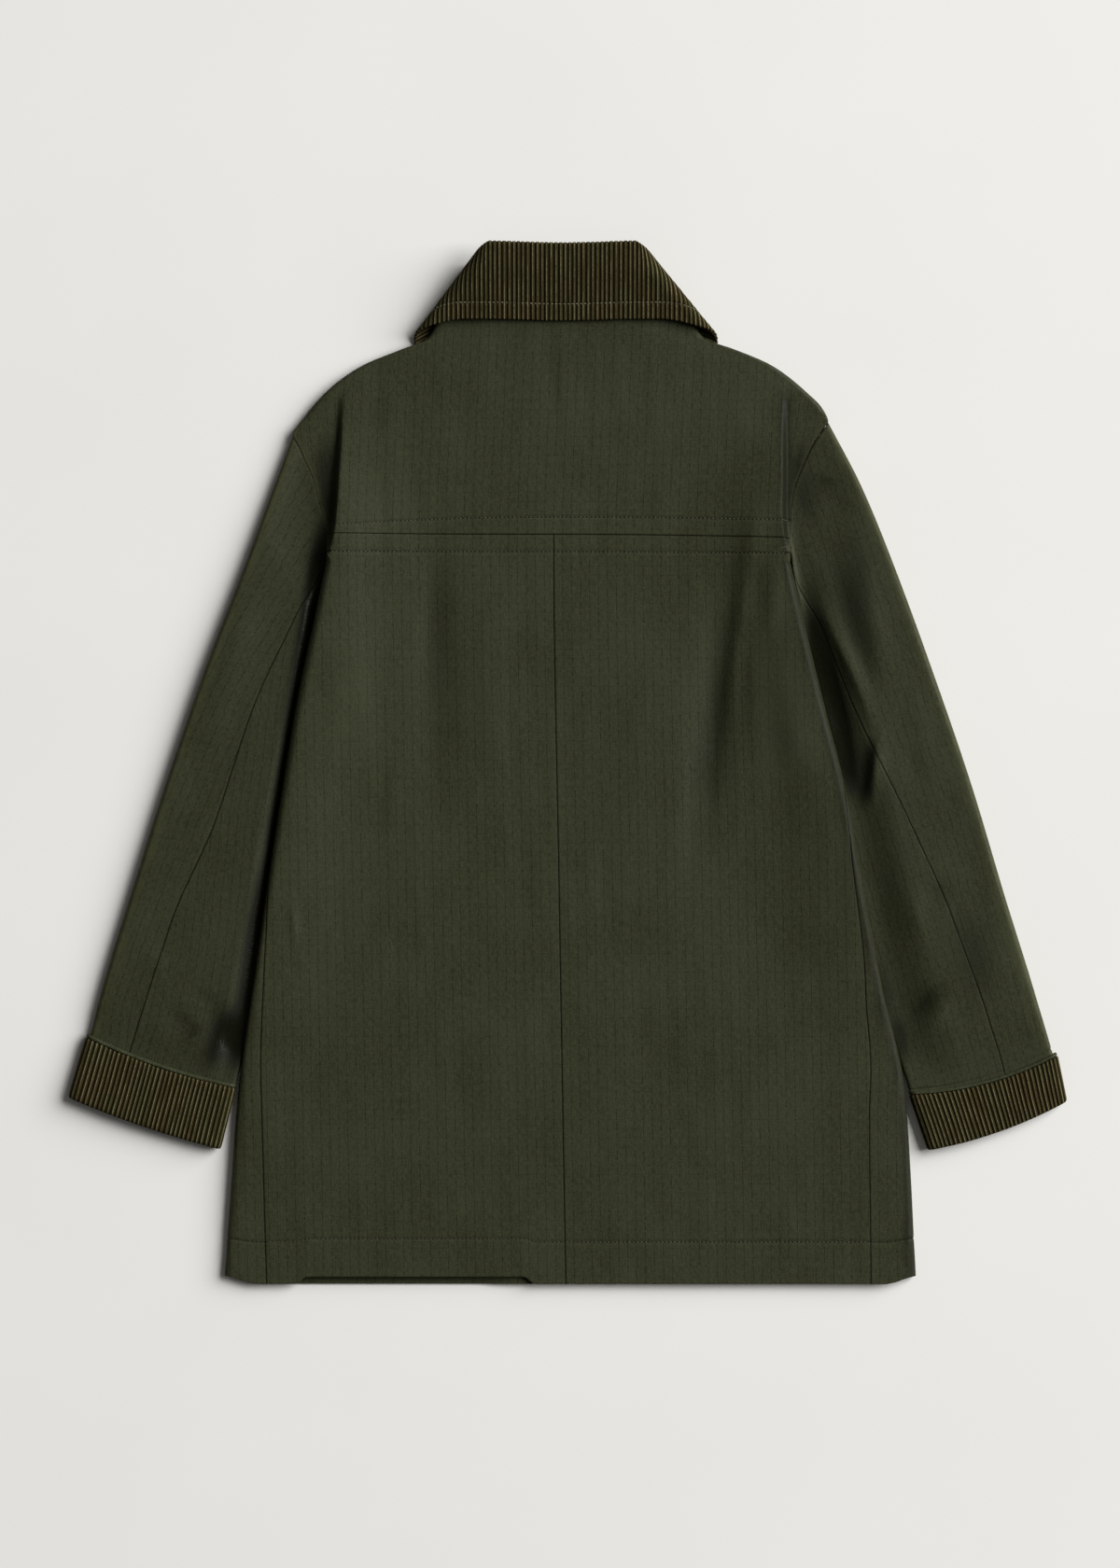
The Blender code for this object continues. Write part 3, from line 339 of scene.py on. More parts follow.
# Painted shade beside the armholes and in the sleeves' folds, written as folds that only colour the
# cloth: below zero is painted shade, and above zero is paler, on the back as painted light.
BACK_SHADE = (
    (163, 536, 162.5, 680, 5, -6.0, 1.0, 6), (176, 648, 168, 548, 10, -6, 0.5, 2.6),
    (-179, 548, -184, 652, 10, -5, 0.7, 2.6), (147, 530, 160, 350, 14, 4.0, 1.0, 2.4))
SLEEVE_SHADE = {
    "left": (
        (-242, 172, -180, 590, 6, -11, 1.0, 7), (-226, 330, -252, 130, 8, -6, 1.0, 3),
        (-274, 150, -246, 218, 10, -7, 0.5), (-262, 152, -243, 214, 9, -4),
        (-292, 178, -268, 200, 4, -2.5)),
    "right": (
        (219, 352, 183, 512, 13, -12, 0.45, 3), (226, 352, 229, 416, 7, -7, 0.4, 3),
        (196, 440, 178, 545, 8, -5), (236, 420, 210, 590, 15, -4.0, 0.5, 2.4),
        (206, 596, 182, 610, 5, -3, 0.6), (173, 632, 184, 552, 10, -4),
        (283, 233, 247, 190, 11, -2.2, 1.0, 2.4), (246, 208, 253, 160, 7, -4.5, 1.0, 2.4),
        (228, 262, 242, 176, 11, -4), (222, 400, 262, 200, 16, -1.6), (336, 252, 338, 212, 4, -1.8),
        (344, 208, 346, 172, 4, -1.8), (292, 300, 318, 196, 14, -3.0, 1.0, 2.2),
        (322, 320, 352, 176, 9, 3.6, 1.0, 2.2)),
}
SLEEVE_DEEPER = 1.4
EDGE_SHADE = {"left": 0.0, "right": 5.5}      # beside the torso's side fold
EDGE_SHADE_AT = (3.0, 5.0)                    # how far inside it, and its half width
FOLD_WEAR = {"left": 1.0, "right": 0.4}       # how much that fold is rubbed
FOLD_RUB = 2.6                                # half width of the rubbed fold
SLEEVE_RUB = 6.0                              # and of a sleeve's
LIP_WEAR = 0.07                               # how much the seams' lips are rubbed
LIP = (1.9, 1.1)                              # how far from the seam, and their half width


def fold_height(folds, x, up):
    """The sum of the soft folds at a point: a bell across each fold that dies out at its ends.

    A fold is the x and up of its start, those of its end, its half width, and its height, below zero
    for a trough. Two more numbers may follow: the share of the width that it has on the right of the
    way that it runs, and how suddenly it dies out.
    """
    total = np.zeros(np.broadcast(x, up).shape)
    for start_x, start_up, end_x, end_up, width, height, *more in folds:
        steep, sudden = (*more, *(1.0, 1.8)[len(more):])
        run, rise = end_x - start_x, end_up - start_up
        length = np.hypot(run, rise)
        share = ((x - start_x) * run + (up - start_up) * rise) / length ** 2
        off = ((x - start_x) * rise - (up - start_up) * run) / length
        ends = smooth(sudden * share) * smooth(sudden * (1 - share))
        total = total + height * ends * np.exp(-(off / (width * np.where(off > 0, steep, 1.0))) ** 2)
    return total


def inward(side):
    """Which way along x the middle of the jacket is from a side."""
    return 1.0 if side == "left" else -1.0


def unit(way):
    """The same direction with a length of one."""
    return way / np.hypot(*way)


def crumple(x, up, seed, shortest=22.0, longest=90.0, turn=math.pi / 2):
    """Small uneven waves of the cloth, from -1 to 1, that no fold of the tables holds.

    turn is how far the waves' own direction may be from straight across.
    """
    draw = np.random.default_rng(seed)
    total = np.zeros(np.broadcast(x, up).shape)
    for _ in range(16):
        length, angle = draw.uniform(shortest, longest), draw.uniform(-turn, turn)
        phase = draw.uniform(0, 6.3)
        wave = np.sin(2 * math.pi * (x * math.cos(angle) + up * math.sin(angle)) / length + phase)
        total = total + wave * length / longest / 4.5
    return total


def soft_relief(x, up):
    """The height that the back's fine folds and waves add to its main form."""
    streaks = crumple(x, up, 4, 9.0, 34.0, 0.16) * (1 + crumple(x, up, 5, 60.0, 160.0))
    return fold_height(BACK_CREASES, x, up) + WAVES * crumple(x, up, 3) + STREAKS * streaks


def back_height(side, edge, x, up):
    """Height of the back's outer face over the surface."""
    inset = np.abs(x - edge)
    beside = np.exp(-(inset / RISE_WIDTH) ** 2)
    height = BACK_LEVEL("level", up) + BACK_LEVEL("side_rise", up) * beside
    past = (ARMHOLE_FOLD(side, up) - x) * inward(side)
    raised = PUFF("height", up) * beside
    above = raised * smooth((up - UNDERARM) / PUFF_FADE)
    drop = (ARMHOLE_FOLD("drop", up) + above) * smooth(past / DROP_WIDTH + 0.5)
    relief = soft_relief(x, up) * smooth(inset / RELIEF_FADE)
    return height + raised - drop + fold_height(BACK_FOLDS, x, up) + relief


def collar_lift(x, up):
    """How far the fronts lie above the surface, where the collar's front ends are under them."""
    beside = smooth((LIFT_HALF + LIFT_FADE - np.abs(x)) / LIFT_FADE)
    return COLLAR_LIFT * smooth((up - LIFT_FROM) / LIFT_FADE) * beside


def hem_lift(x, up, layer):
    """The back hem rides up over the left front, and both hems round off at the corners."""
    fade = 1 - smooth(up / HEM_BAND)
    left, right, width = HEM_ROUND
    corner = HEM_CORNER * (smooth((-x - left) / width) + smooth((x - right) / width))
    if layer == "front":
        return fade * (corner + HEM_UP[layer])
    start, stop, end = HEM_SHOWN
    shown = smooth((x - start) / end) * smooth((stop - x) / end)
    return fade * (corner + HEM_UP[layer] + HEM_RIDE * shown)


def row_up(row, side, x, layer):
    """The up of a point of a row: the row bends down from its centre to its end."""
    end_x, end_up = row[side]
    centre_x = CENTRE_BACK("x", row["centre"])
    share = (x - centre_x) / (end_x - centre_x)
    up = end_up + (row["centre"] - end_up) * (1 - np.clip(share, 0, 1) ** 2)
    return up + hem_lift(x, up, layer) if row["centre"] < HEM_BAND else up


def front_end(row, side):
    """Where a front ends: past the centre line, or above the collar's end at the neck edge."""
    x = np.linspace(row[side][0], OVERLAP * inward(side), 4 * FINE)
    up = row_up(row, side, x, "front")
    neck = NECK_EDGE[side]
    beyond = (x - np.interp(up, neck[:, 1], neck[:, 0])) * inward(side) > 0
    cut = np.flatnonzero(beyond & (up > neck[0, 1]))
    return float(x[cut[0]]) if len(cut) else OVERLAP * inward(side)


def between(section, start, stop):
    """The part of a section between two reaches as (x, up, z, reach), with exact ends."""
    falling = section[::-1]
    ends = [[np.interp(reach, falling[:, 0], falling[:, k]) for k in range(4)] for reach in (start, stop)]
    inside = section[(section[:, 0] < start) & (section[:, 0] > stop)]
    points = np.concatenate((ends[:1], inside, ends[1:]))[:, (1, 2, 3, 0)]
    apart = np.linalg.norm(np.diff(points[:, :3], axis=0), axis=1) > 0.01
    return points[np.concatenate(([True], apart))]


def stations(start, stop, step, close=(), steps=EDGE_STEPS):
    """Places from start to stop, closer together round each place of close and at both ends."""
    places = list(np.linspace(start, stop, 2 + int((stop - start) / step)))
    for place in (start, stop, *close):
        places += [place + way * off for off in steps for way in (-1, 1)]
    places = sorted(place for place in places if start <= place <= stop)
    kept = [places[0]]
    for place in places[1:]:
        if place - kept[-1] > 0.6 * steps[1]:
            kept.append(place)
    kept[-1] = stop
    return kept


def body_row(station):
    """A row of the body, by the up of its middle: its end and its side fold on both sides."""
    row = {"centre": station}
    fade = smooth((station - UNDERARM) / UNDERARM_FADE)
    low = min(station, UNDERARM)
    for side in BOTH:
        if station <= UNDERARM:
            end = (float(SIDES(side, station)), station)
            seam, roll = float(SIDE_SEAM(side, station)), float(TUCK("roll", station))
        else:
            end = (float(SHOULDERS(side + "_x", station)), float(SHOULDERS(side + "_up", station)))
            seam, roll = 0.0, float(SHOULDERS("roll", station))
        lift = float(TUCK("lift", low) * (1 - fade) + fade * collar_lift(*end))
        row[side] = end
        row[side + "_fold"] = {"seam": seam, "roll": roll, "lift": lift, "tuck": float(TUCK("tuck", low))}
    return row


def body_section(row, side, layer):
    """The torso's outer face in one row, from the centre back over the side to the front's end.

    Each point is (reach, x, up, z). The reach is the distance inside the side fold, counted below
    zero underneath, so it falls steadily along the section.
    """
    edge, edge_up = row[side]
    way = inward(side)
    fold = row[side + "_fold"]
    roll, lift = fold["roll"], fold["lift"]
    top = back_height(side, edge, edge + way * roll, edge_up)
    middle, half = (top + lift) / 2, (top - lift) / 2

    x = np.linspace(CENTRE_BACK("x", row["centre"]), edge + way * roll, 3 * FINE, endpoint=False)
    height = back_height(side, edge, x, row_up(row, side, x, "back"))
    parts = [np.stack((np.abs(x - edge), x, height), 1)]
    angle = np.linspace(0, math.pi, FINE)
    inset = roll * (1 - np.sin(angle))
    reach = roll * (1 - angle / (math.pi / 2))
    parts.append(np.stack((reach, edge + way * inset, middle + half * np.cos(angle)), 1))
    x = np.linspace(edge + way * roll, front_end(row, side), 2 * FINE)[1:]
    inset = np.abs(x - edge)
    over_collar = collar_lift(x, row_up(row, side, x, "front"))
    floor = over_collar + (lift - over_collar) * (1 - smooth((inset - fold["tuck"] - RAMP_FROM) / RAMP))
    if side == "left":
        floor = floor + OVERLAP_LIFT * smooth((x + OVERLAP + OVERLAP_RISE[0]) / OVERLAP_RISE[1])
    parts.append(np.stack((-inset, x, floor), 1))
    reach, x, z = np.concatenate(parts).T
    return np.stack((reach, x, row_up(row, side, x, layer), z), 1)


def spread(line, count):
    """Points of a fine line: close together at both ends and where it turns.

    Returns each point with its heading, and its distance from the line's start.
    """
    step = np.diff(line[:, :3], axis=0)
    length = np.linalg.norm(step, axis=1)
    heading = step / length[:, None]
    turning = np.arccos(np.clip(np.sum(heading[1:] * heading[:-1], axis=1), -1, 1))
    far = np.concatenate(([0], np.cumsum(length)))
    along = np.concatenate(([0], np.cumsum(length + TURN_WEIGHT * np.concatenate(([0], turning)))))
    margin = min(EDGE_STEPS[-1], 0.2 * far[-1])
    edge = np.array(EDGE_STEPS) * margin / EDGE_STEPS[-1]
    first, last = np.interp((margin, far[-1] - margin), far, along)
    middle = np.interp(np.linspace(first, last, count)[1:-1], along, far)
    wanted = np.concatenate((edge, middle, far[-1] - edge[::-1]))
    smoothed = np.gradient(line[:, :3], axis=0)
    smoothed = smoothed / np.linalg.norm(smoothed, axis=1)[:, None]
    values = np.hstack((line, smoothed))
    points = np.stack([np.interp(wanted, far, values[:, k]) for k in range(values.shape[1])], 1)
    return points, wanted


def cloth_shell(lines, rows, count, way, grooves=(), across=None, whole=False, hem=False):
    """The grids of an oilskin wall: outer and inner face, and what its looks are drawn from.

    rows are the places of the lines, and grooves the places at which a row of stitches presses the
    cloth in. A sleeve has across, the way across it, and a folded band in place of stitches. A whole
    shell has no edge where its lines start, and a hem is an edge that isn't a seam.
    """
    points, far = zip(*[spread(line, count) for line in lines])
    points, far, rows = np.array(points), np.array(far), np.array(rows, float)
    outer, reach, along = points[:, :, :3], points[:, :, 3], points[:, :, 4:]
    if across is None:
        normal = np.cross(along, np.gradient(outer, axis=0))
    else:
        flat = along[:, :, :2] @ across
        normal = np.stack((along[:, :, 2] * across[0], along[:, :, 2] * across[1], -flat), -1)
    normal = way * normal / np.linalg.norm(normal, axis=2)[:, :, None]
    side_edge = far[:, -1:] - far if whole else np.minimum(far, far[:, -1:] - far)
    edge = np.minimum(side_edge, np.minimum(rows - rows[0], rows[-1] - rows)[:, None])
    sewn_edge = np.minimum(side_edge, (rows[-1] - rows)[:, None]) if hem else edge
    seam = 1 - smooth((sewn_edge - SEWN_IN[0]) / SEWN_IN[1])
    sunk = SEAM_GROOVE * (1 - smooth(edge / SEAM_WIDTH)) ** 1.5
    beside = np.full(len(rows), STITCH_FAR)
    depth, half = STITCH_GROOVE if across is None else BAND_GROOVE
    for place in grooves:
        sunk = sunk + (depth * np.exp(-((rows - place) / half) ** 2))[:, None]
        if across is None:
            beside = np.minimum(beside, np.abs(rows - place))
    return {"outer": outer + sunk[:, :, None] * normal, "inner": outer + CLOTH * normal, "edge": edge,
            "reach": reach, "seam": seam, "sewn": np.broadcast_to(beside[:, None], edge.shape)}


def body_shell(side, layer, rows, count, grooves, centre_gap=GAP / 2, **kind):
    """One side's wall of the back or the front. Its looks are drawn from its rubbed folds and lips,
    and from its relief, which paints shade into its troughs and light onto its ridges, and from
    painted shade beside its side fold."""
    lines = []
    for station in rows:
        row = body_row(station)
        section = body_section(row, side, layer)
        seam = row[side + "_fold"]["seam"]
        back = (section[0, 0] - centre_gap, seam + GAP / 2)
        lines.append(between(section, *(back if layer == "back" else (seam - GAP / 2, section[-1, 0]))))
    shell = cloth_shell(lines, rows, count, inward(side), grooves, **kind)
    outer, reach = shell["outer"], shell["reach"]
    x, up = outer[:, :, 0], outer[:, :, 1]
    step = np.diff(outer, axis=1)
    across = np.cumsum(np.hypot(step[:, :, 0], step[:, :, 2]), axis=1)
    across = np.concatenate((np.zeros((len(outer), 1)), across), axis=1) * -inward(side)
    shell["uv"] = np.stack((across * MM, up * MM), -1)
    rubbed = FOLD_WEAR[side] * np.exp(-(reach / FOLD_RUB) ** 2) * (up < SHOULDER_TIP)
    shell["wear"] = np.clip(rubbed + lip_wear(shell), 0, 1)
    # painted shade and light: troughs darker and ridges paler, BACK_SHADE's painted patches, and EDGE_SHADE's
    # painted shade inside the side fold
    relief = fold_height(BACK_FOLDS, x, up) + soft_relief(x, up) + fold_height(BACK_SHADE, x, up)
    inside, half = EDGE_SHADE_AT
    relief = relief - EDGE_SHADE[side] * np.exp(-((reach - inside) / half) ** 2) * (up < UNDERARM)
    shell["relief"] = relief * (reach > 0)
    return shell


def lip_wear(shell):
    """How much the wax has rubbed off the two lips of each seam."""
    return LIP_WEAR * np.exp(-((shell["edge"] - LIP[0]) / LIP[1]) ** 2)


def back_shell(side):
    """One side of the back below the yoke, from the centre seam to the side seam."""
    grooves = (HEM_STITCH, YOKE_SEAM - YOKE_STITCH)
    rows = stations(0.0, YOKE_SEAM - GAP / 2, ROW_STEP, (*grooves, YOKE_SEAM))
    return body_shell(side, "back", rows, BACK_COLUMNS, grooves, hem=True)


def front_shell(side):
    """One front, from the side seam under the back to the overlap and the neck edge."""
    rows = stations(0.0, TOP_ROW, 2 * ROW_STEP, (HEM_STITCH,))
    return body_shell(side, "front", rows, FRONT_COLUMNS, (HEM_STITCH,), hem=True)


def yoke_shell():
    """Both halves of the yoke as one shell, without a seam at the centre."""
    groove = YOKE_SEAM + YOKE_STITCH
    rows = stations(YOKE_SEAM + GAP / 2, TOP_ROW, ROW_STEP, (groove, SHOULDER_TIP))
    left, right = [body_shell(side, "back", rows, BACK_COLUMNS, (groove,), 0.0, whole=True) for side in BOTH]
    return {key: np.concatenate((left[key][:, ::-1], right[key][:, 1:]), axis=1) for key in left}


def cuff_line(side, share):
    """Both ends and the bow of a line across the cuff: 0 is its upper edge and 1 its lower one."""
    cuff = CUFFS[side]
    ends = [np.array(top) + share * (np.array(low) - np.array(top))
            for top, low in zip(cuff["top"], cuff["bottom"])]
    return *ends, cuff["bow"][0] + share * (cuff["bow"][1] - cuff["bow"][0])


def sleeve_folds(side, at):
    """The sleeve's outer fold at a station, and its inner one, tucked under the torso's side fold."""
    sleeve = SLEEVES[side]
    up = sleeve("inner_up", at)
    outer = np.array((sleeve("outer_x", at), sleeve("outer_up", at)))
    return outer, np.array((SIDES(side, up) + inward(side) * TUCK("tuck", up), up))


def sleeve_line(side, at):
    """Both folds of the sleeve at a station, led into the cuff, and the bow between them."""
    outer, inner = sleeve_folds(side, at)
    last_outer, last_inner = sleeve_folds(side, 1.0)
    cuff_outer, cuff_inner, bow = cuff_line(side, 0.0)
    inset = unit(cuff_inner - cuff_outer) * SLEEVE_INSET
    near = smooth((at - CUFF_FROM) / (1 - CUFF_FROM))
    outer = outer + near * (cuff_outer + inset - last_outer)
    inner = inner + near * (cuff_inner - 0.2 * inset - last_inner)
    return outer, inner, near * bow


def armhole(side):
    """The armhole seam from the shoulder tip to the underarm: share of its length, x, up, height."""
    places = np.linspace(SHOULDER_TIP, UNDERARM, 90)
    points = np.stack([SHOULDERS(side + axis, places) for axis in ("_x", "_up")], 1)
    length = np.concatenate(([0], np.cumsum(np.hypot(*np.diff(points, axis=0).T))))
    heights = np.array([float(back_height(side, x, x, up)) for x, up in points])
    heights = SLEEVE_INNER + (heights - SLEEVE_INNER) * smooth((places - UNDERARM) / ARMHOLE_FADE)
    return np.column_stack((length / length[-1], points, heights))


ARMHOLES = {side: armhole(side) for side in BOTH}


def tube_section(width, level, base, outer_roll, inner_roll, inner_level, rise):
    """A flattened tube's outer face: (reach, q, z), from the inner fold over the top and back.

    q is the distance from the outer fold. The reach is q on top and -q underneath.
    """
    def top_at(q):
        return inner_level + (level - inner_level) * smooth((width - q) / rise - RISE_FROM)

    parts = []
    for q_end, roll, flip in ((width, inner_roll, -1), (0.0, outer_roll, 1)):
        q_top = q_end + flip * roll
        middle, half = (top_at(q_top) + base) / 2, (top_at(q_top) - base) / 2
        angle = np.linspace(0, math.pi / 2, FINE // 2)
        q = q_end + flip * roll * (1 - np.sin(angle))
        parts.append((q, middle + half * np.cos(angle), middle - half * np.cos(angle)))
    q = np.linspace(width - inner_roll, outer_roll, 2 * FINE)[1:-1]
    top = np.concatenate((parts[0][1][::-1], top_at(q), parts[1][1]))
    top_q = np.concatenate((parts[0][0][::-1], q, parts[1][0]))
    low = np.concatenate((parts[1][2][::-1], np.full(len(q), base), parts[0][2]))[1:]
    low_q = np.concatenate((parts[1][0][::-1], q[::-1], parts[0][0]))[1:]
    return np.concatenate((np.stack((top_q, top_q, top), 1), np.stack((-low_q, low_q, low), 1)))


def sleeve_relief(side, x, up):
    """The height that the sleeve's fine folds and waves add to its main form."""
    return fold_height(SLEEVE_CREASES[side], x, up) + WAVES * crumple(x, up, 8 if side == "left" else 9)


def sleeve_section(side, at):
    """One station of a sleeve as (reach, x, up, z), the reach of its back seam and its width."""
    outer, inner, bow = sleeve_line(side, at)
    width = float(np.hypot(*(inner - outer)))
    across = (inner - outer) / width
    down = np.array((across[1], -across[0])) * inward(side)
    cuffed = smooth((at - CUFF_FROM) / (1 - CUFF_FROM))
    base = SLEEVE_BASE * smooth((at - CUFF_FROM) / BASE_RISE)
    level = SLEEVES[side]("level", at)
    inner_level = SLEEVE_INNER + cuffed * (level - SLEEVE_INNER)
    head = 1 - smooth(at / HEAD_END)
    rolls = SLEEVE_ROLL[0] - cuffed, SLEEVE_ROLL[1] + HEAD_ROLL * head
    section = tube_section(width, level, base, *rolls, inner_level, SLEEVE_RISE[side])
    q, z = section[:, 1], section[:, 2]
    share = q / width
    x_up = outer + q[:, None] * across + (bow * 4 * share * (1 - share))[:, None] * down
    seam = ARMHOLES[side]
    curved = np.stack([np.interp(share, seam[:, 0], seam[:, k]) for k in (1, 2)], 1)
    straight = seam[0, 1:3] + share[:, None] * (seam[-1, 1:3] - seam[0, 1:3])
    x_up = x_up + head * (curved - straight + ARMHOLE_CLEAR * down)
    x, up = x_up.T
    beside = smooth(q / SLEEVE_FADE) * smooth((width - q) / SLEEVE_FADE)
    on_top = (section[:, 0] >= 0) * beside * (1 - cuffed)
    z = z + on_top * fold_height(SLEEVE_FOLDS[side], x, up)
    z = z + on_top * sleeve_relief(side, x, up)
    z = z + on_top * head * (np.interp(share, seam[:, 0], seam[:, 3]) - z)
    return np.column_stack((section[:, 0], x_up, z)), SLEEVES[side]("seam", at) * width, width


def cuff_ring(side, share, inset, above=0.0):
    """A flattened ring across the cuff as (x, up, z), from the outer fold's underside over the top."""
    outer, inner, bow = cuff_line(side, share)
    width = float(np.hypot(*(inner - outer)))
    across = (inner - outer) / width
    down = np.array((across[1], -across[0])) * inward(side)
    half = CUFF_THICK / 2
    angle = np.linspace(0, math.pi, FINE)
    bulge, high = (CUFF_ROLL - inset) * np.sin(angle), (half - inset) * np.cos(angle)
    straight = np.linspace(CUFF_ROLL, width - CUFF_ROLL, 2 * FINE)[1:-1]
    level = np.full(len(straight), half - inset)
    q = np.concatenate((CUFF_ROLL - bulge, straight, width - CUFF_ROLL + bulge, straight[::-1]))
    z = half + np.concatenate((-high, level, high, -level))
    bend = bow * 4 * (q / width) * (1 - q / width) - above
    return np.column_stack((outer + q[:, None] * across + bend[:, None] * down, z))


def ring_length(side):
    """How far round the cuff's full upper edge each of its points is, and all the way round."""
    ring = cuff_ring(side, 0.0, 0.0)
    return np.concatenate(([0], np.cumsum(np.linalg.norm(np.diff(ring, axis=0, append=ring[:1]), axis=1))))


def along_ring(side, wanted, share, inset, above=0.0):
    """Points of a ring at shares of the way round the cuff's full upper edge."""
    ring = cuff_ring(side, share, inset, above)
    closed = np.concatenate((ring, ring[:1]))
    length = ring_length(side)
    return np.stack([np.interp(wanted * length[-1], length, closed[:, k]) for k in range(3)], 1)


def roll_under(x, up, layer):
    """Rolls the collar's flat strip under at both sides, round an axis along each side edge.

    The layer is the depth below the collar's outer face. Returns x, up and z.
    """
    x, up, layer = np.broadcast_arrays(np.asarray(x, float), up, layer)
    height = LEAF_HEIGHT("z", COLLAR_TOP - up)
    radius = height / 2
    narrow = CORNER + (1 - CORNER) * smooth((COLLAR_TOP - up) / CORNER_DEPTH)
    new_x, new_up, z = x.copy(), np.array(up, float), height - layer
    for way, (top, low) in COLLAR_SIDES.items():
        edge = unit(np.array(low) - np.array(top))
        out = np.array((-edge[1], edge[0])) * way
        flat = radius * narrow
        bend = radius * (1 + narrow) / 2
        past = (x - top[0]) * out[0] + (up - top[1]) * out[1] + flat
        turn = np.clip(past / bend, 0, math.pi)
        reach = (flat - layer * narrow) * np.sin(turn) - np.maximum(past - math.pi * bend, 0)
        rolled = past > 0
        new_x = np.where(rolled, x + (reach - past) * out[0], new_x)
        new_up = np.where(rolled, up + (reach - past) * out[1], new_up)
        z = np.where(rolled, radius + (radius - layer) * np.cos(turn), z)
    return np.stack((new_x, new_up, z), -1)


def neck_edge(side):
    """The fronts' neck edge, just inside the collar's fold, as (x, up) with up rising."""
    along = np.linspace(COLLAR_HALF + NECK_PAST_END, 60, 90)
    points = roll_under(COLLAR_CENTRE - inward(side) * along, COLLAR_TOP - NECK_INSET, COLLAR_LIFT)
    under = points[points[:, 2] < COLLAR_LIFT + 0.2]
    return under[np.argsort(under[:, 1])]


NECK_EDGE = {side: neck_edge(side) for side in BOTH}


def leaf_depth(x):
    """The leaf is cut deeper towards its front points."""
    deeper, start, width = LEAF_POINT
    return 1 + deeper * smooth((np.abs(x - COLLAR_CENTRE) - start) / width)


def collar_sag(x):
    """How far the collar's fold dips below its two ends."""
    return COLLAR_SAG * (1 - smooth(np.abs(x - COLLAR_CENTRE) / SAG_HALF))


def sleeve_uv(grid, side, anchor):
    """Round the sleeve and along the arm, in metres. anchor is the column of a fold in each row."""
    first, last = [np.mean(sleeve_folds(side, at), axis=0) for at in ARM]
    arm = unit(last - first)
    across = np.array((-arm[1], arm[0]))
    step = np.diff(grid, axis=1)
    turned = np.hypot(step[:, :, :2] @ across, step[:, :, 2])
    round_it = np.concatenate((np.zeros((len(grid), 1)), np.cumsum(turned, axis=1)), axis=1)
    at_fold = np.take_along_axis(round_it, anchor[:, None], axis=1)
    fold = np.take_along_axis(grid[:, :, :2] @ across, anchor[:, None], axis=1)
    return np.stack(((round_it - at_fold + fold) * MM, (grid[:, :, :2] @ arm) * MM), -1)


def sleeve_shells(side):
    """The top sleeve, round the outer fold, and the under sleeve, round the inner fold."""
    bands = [SLEEVE_LENGTH - band for band in (SLEEVE_BAND[side],) if band]
    rows = stations(0.0, 1.0, ROW_STEP / SLEEVE_LENGTH, [band / SLEEVE_LENGTH for band in bands],
                    [step / SLEEVE_LENGTH for step in EDGE_STEPS])
    top, under = [], []
    for at in rows:
        section, seam, width = sleeve_section(side, at)
        hidden = -SLEEVE_SEAM_UNDER * width
        top.append(between(section, seam - GAP / 2, hidden + GAP / 2))
        low = between(section, hidden - GAP / 2, section[-1, 0])
        high = between(section, section[0, 0], seam + GAP / 2)
        under.append(np.concatenate((low, high[1:])))
    outer, inner, _ = cuff_line(side, 0.0)
    places = np.array(rows) * SLEEVE_LENGTH
    halves = ((top, TOP_SLEEVE_COLUMNS, np.argmin), (under, UNDER_SLEEVE_COLUMNS, np.argmax))
    for lines, columns, fold in halves:
        shell = cloth_shell(lines, places, columns, -1, bands, unit(inner - outer))
        reach = shell["reach"]
        shell["uv"] = sleeve_uv(shell["outer"], side, fold(np.abs(reach), axis=1))
        x, up = shell["outer"][:, :, 0], shell["outer"][:, :, 1]
        shell["wear"] = np.clip(np.exp(-(reach / SLEEVE_RUB) ** 2) + lip_wear(shell), 0, 1)
        # painted shade and light: troughs darker and ridges paler, SLEEVE_SHADE's painted patches, and the
        # whole sleeve a little darker by SLEEVE_DEEPER
        relief = fold_height(SLEEVE_FOLDS[side], x, up) + sleeve_relief(side, x, up)
        shell["relief"] = (relief + fold_height(SLEEVE_SHADE[side], x, up) - SLEEVE_DEEPER) * (reach > 0)
        yield shell


def wale_columns(total, seed):
    """Places along a line of corduroy, the height of the pile there from 0 to 1, and the same as a
    straight-sided share that is 1 on each wale's crest."""
    draw = np.random.default_rng(seed)
    widths = draw.uniform(0.90, 1.10, int(round(total / WALE)))
    ends = np.concatenate(([0], np.cumsum(widths))) * total / widths.sum()
    share = np.array(WALE_POINTS)
    places = (ends[:-1, None] + share * np.diff(ends)[:, None]).ravel()
    high = np.tile(1 - np.abs(2 * share - 1) ** 2.6, len(widths))
    across = np.tile(1 - np.abs(2 * share - 1), len(widths))
    high = high * np.repeat(draw.uniform(0.86, 1.0, len(widths)), len(share))
    return places, high, across


def leaf_rows():
    """Rows across the leaf, from its edge at the stand over the fold to its lower edge.

    Each is what it lies on, its depth or its angle round the fold or the rim, and which way it faces.
    """
    top = stations(FOLD_BEND + 1.0, LEAF_DEPTH - LEAF_EDGE, 2.6, (COLLAR_STITCH,), (0.0, 0.6, 1.2, 2.0))
    return [("flat", UNDER_FOLD + 1.0, -1),
            *[("bend", angle, 0) for angle in np.radians((-90, -65, -40, -15, 10, 35, 60, 82))],
            *[("flat", depth, 1) for depth in top],
            *[("rim", angle, 1) for angle in np.radians((25, 50, 75, 100, 125, 150))]]


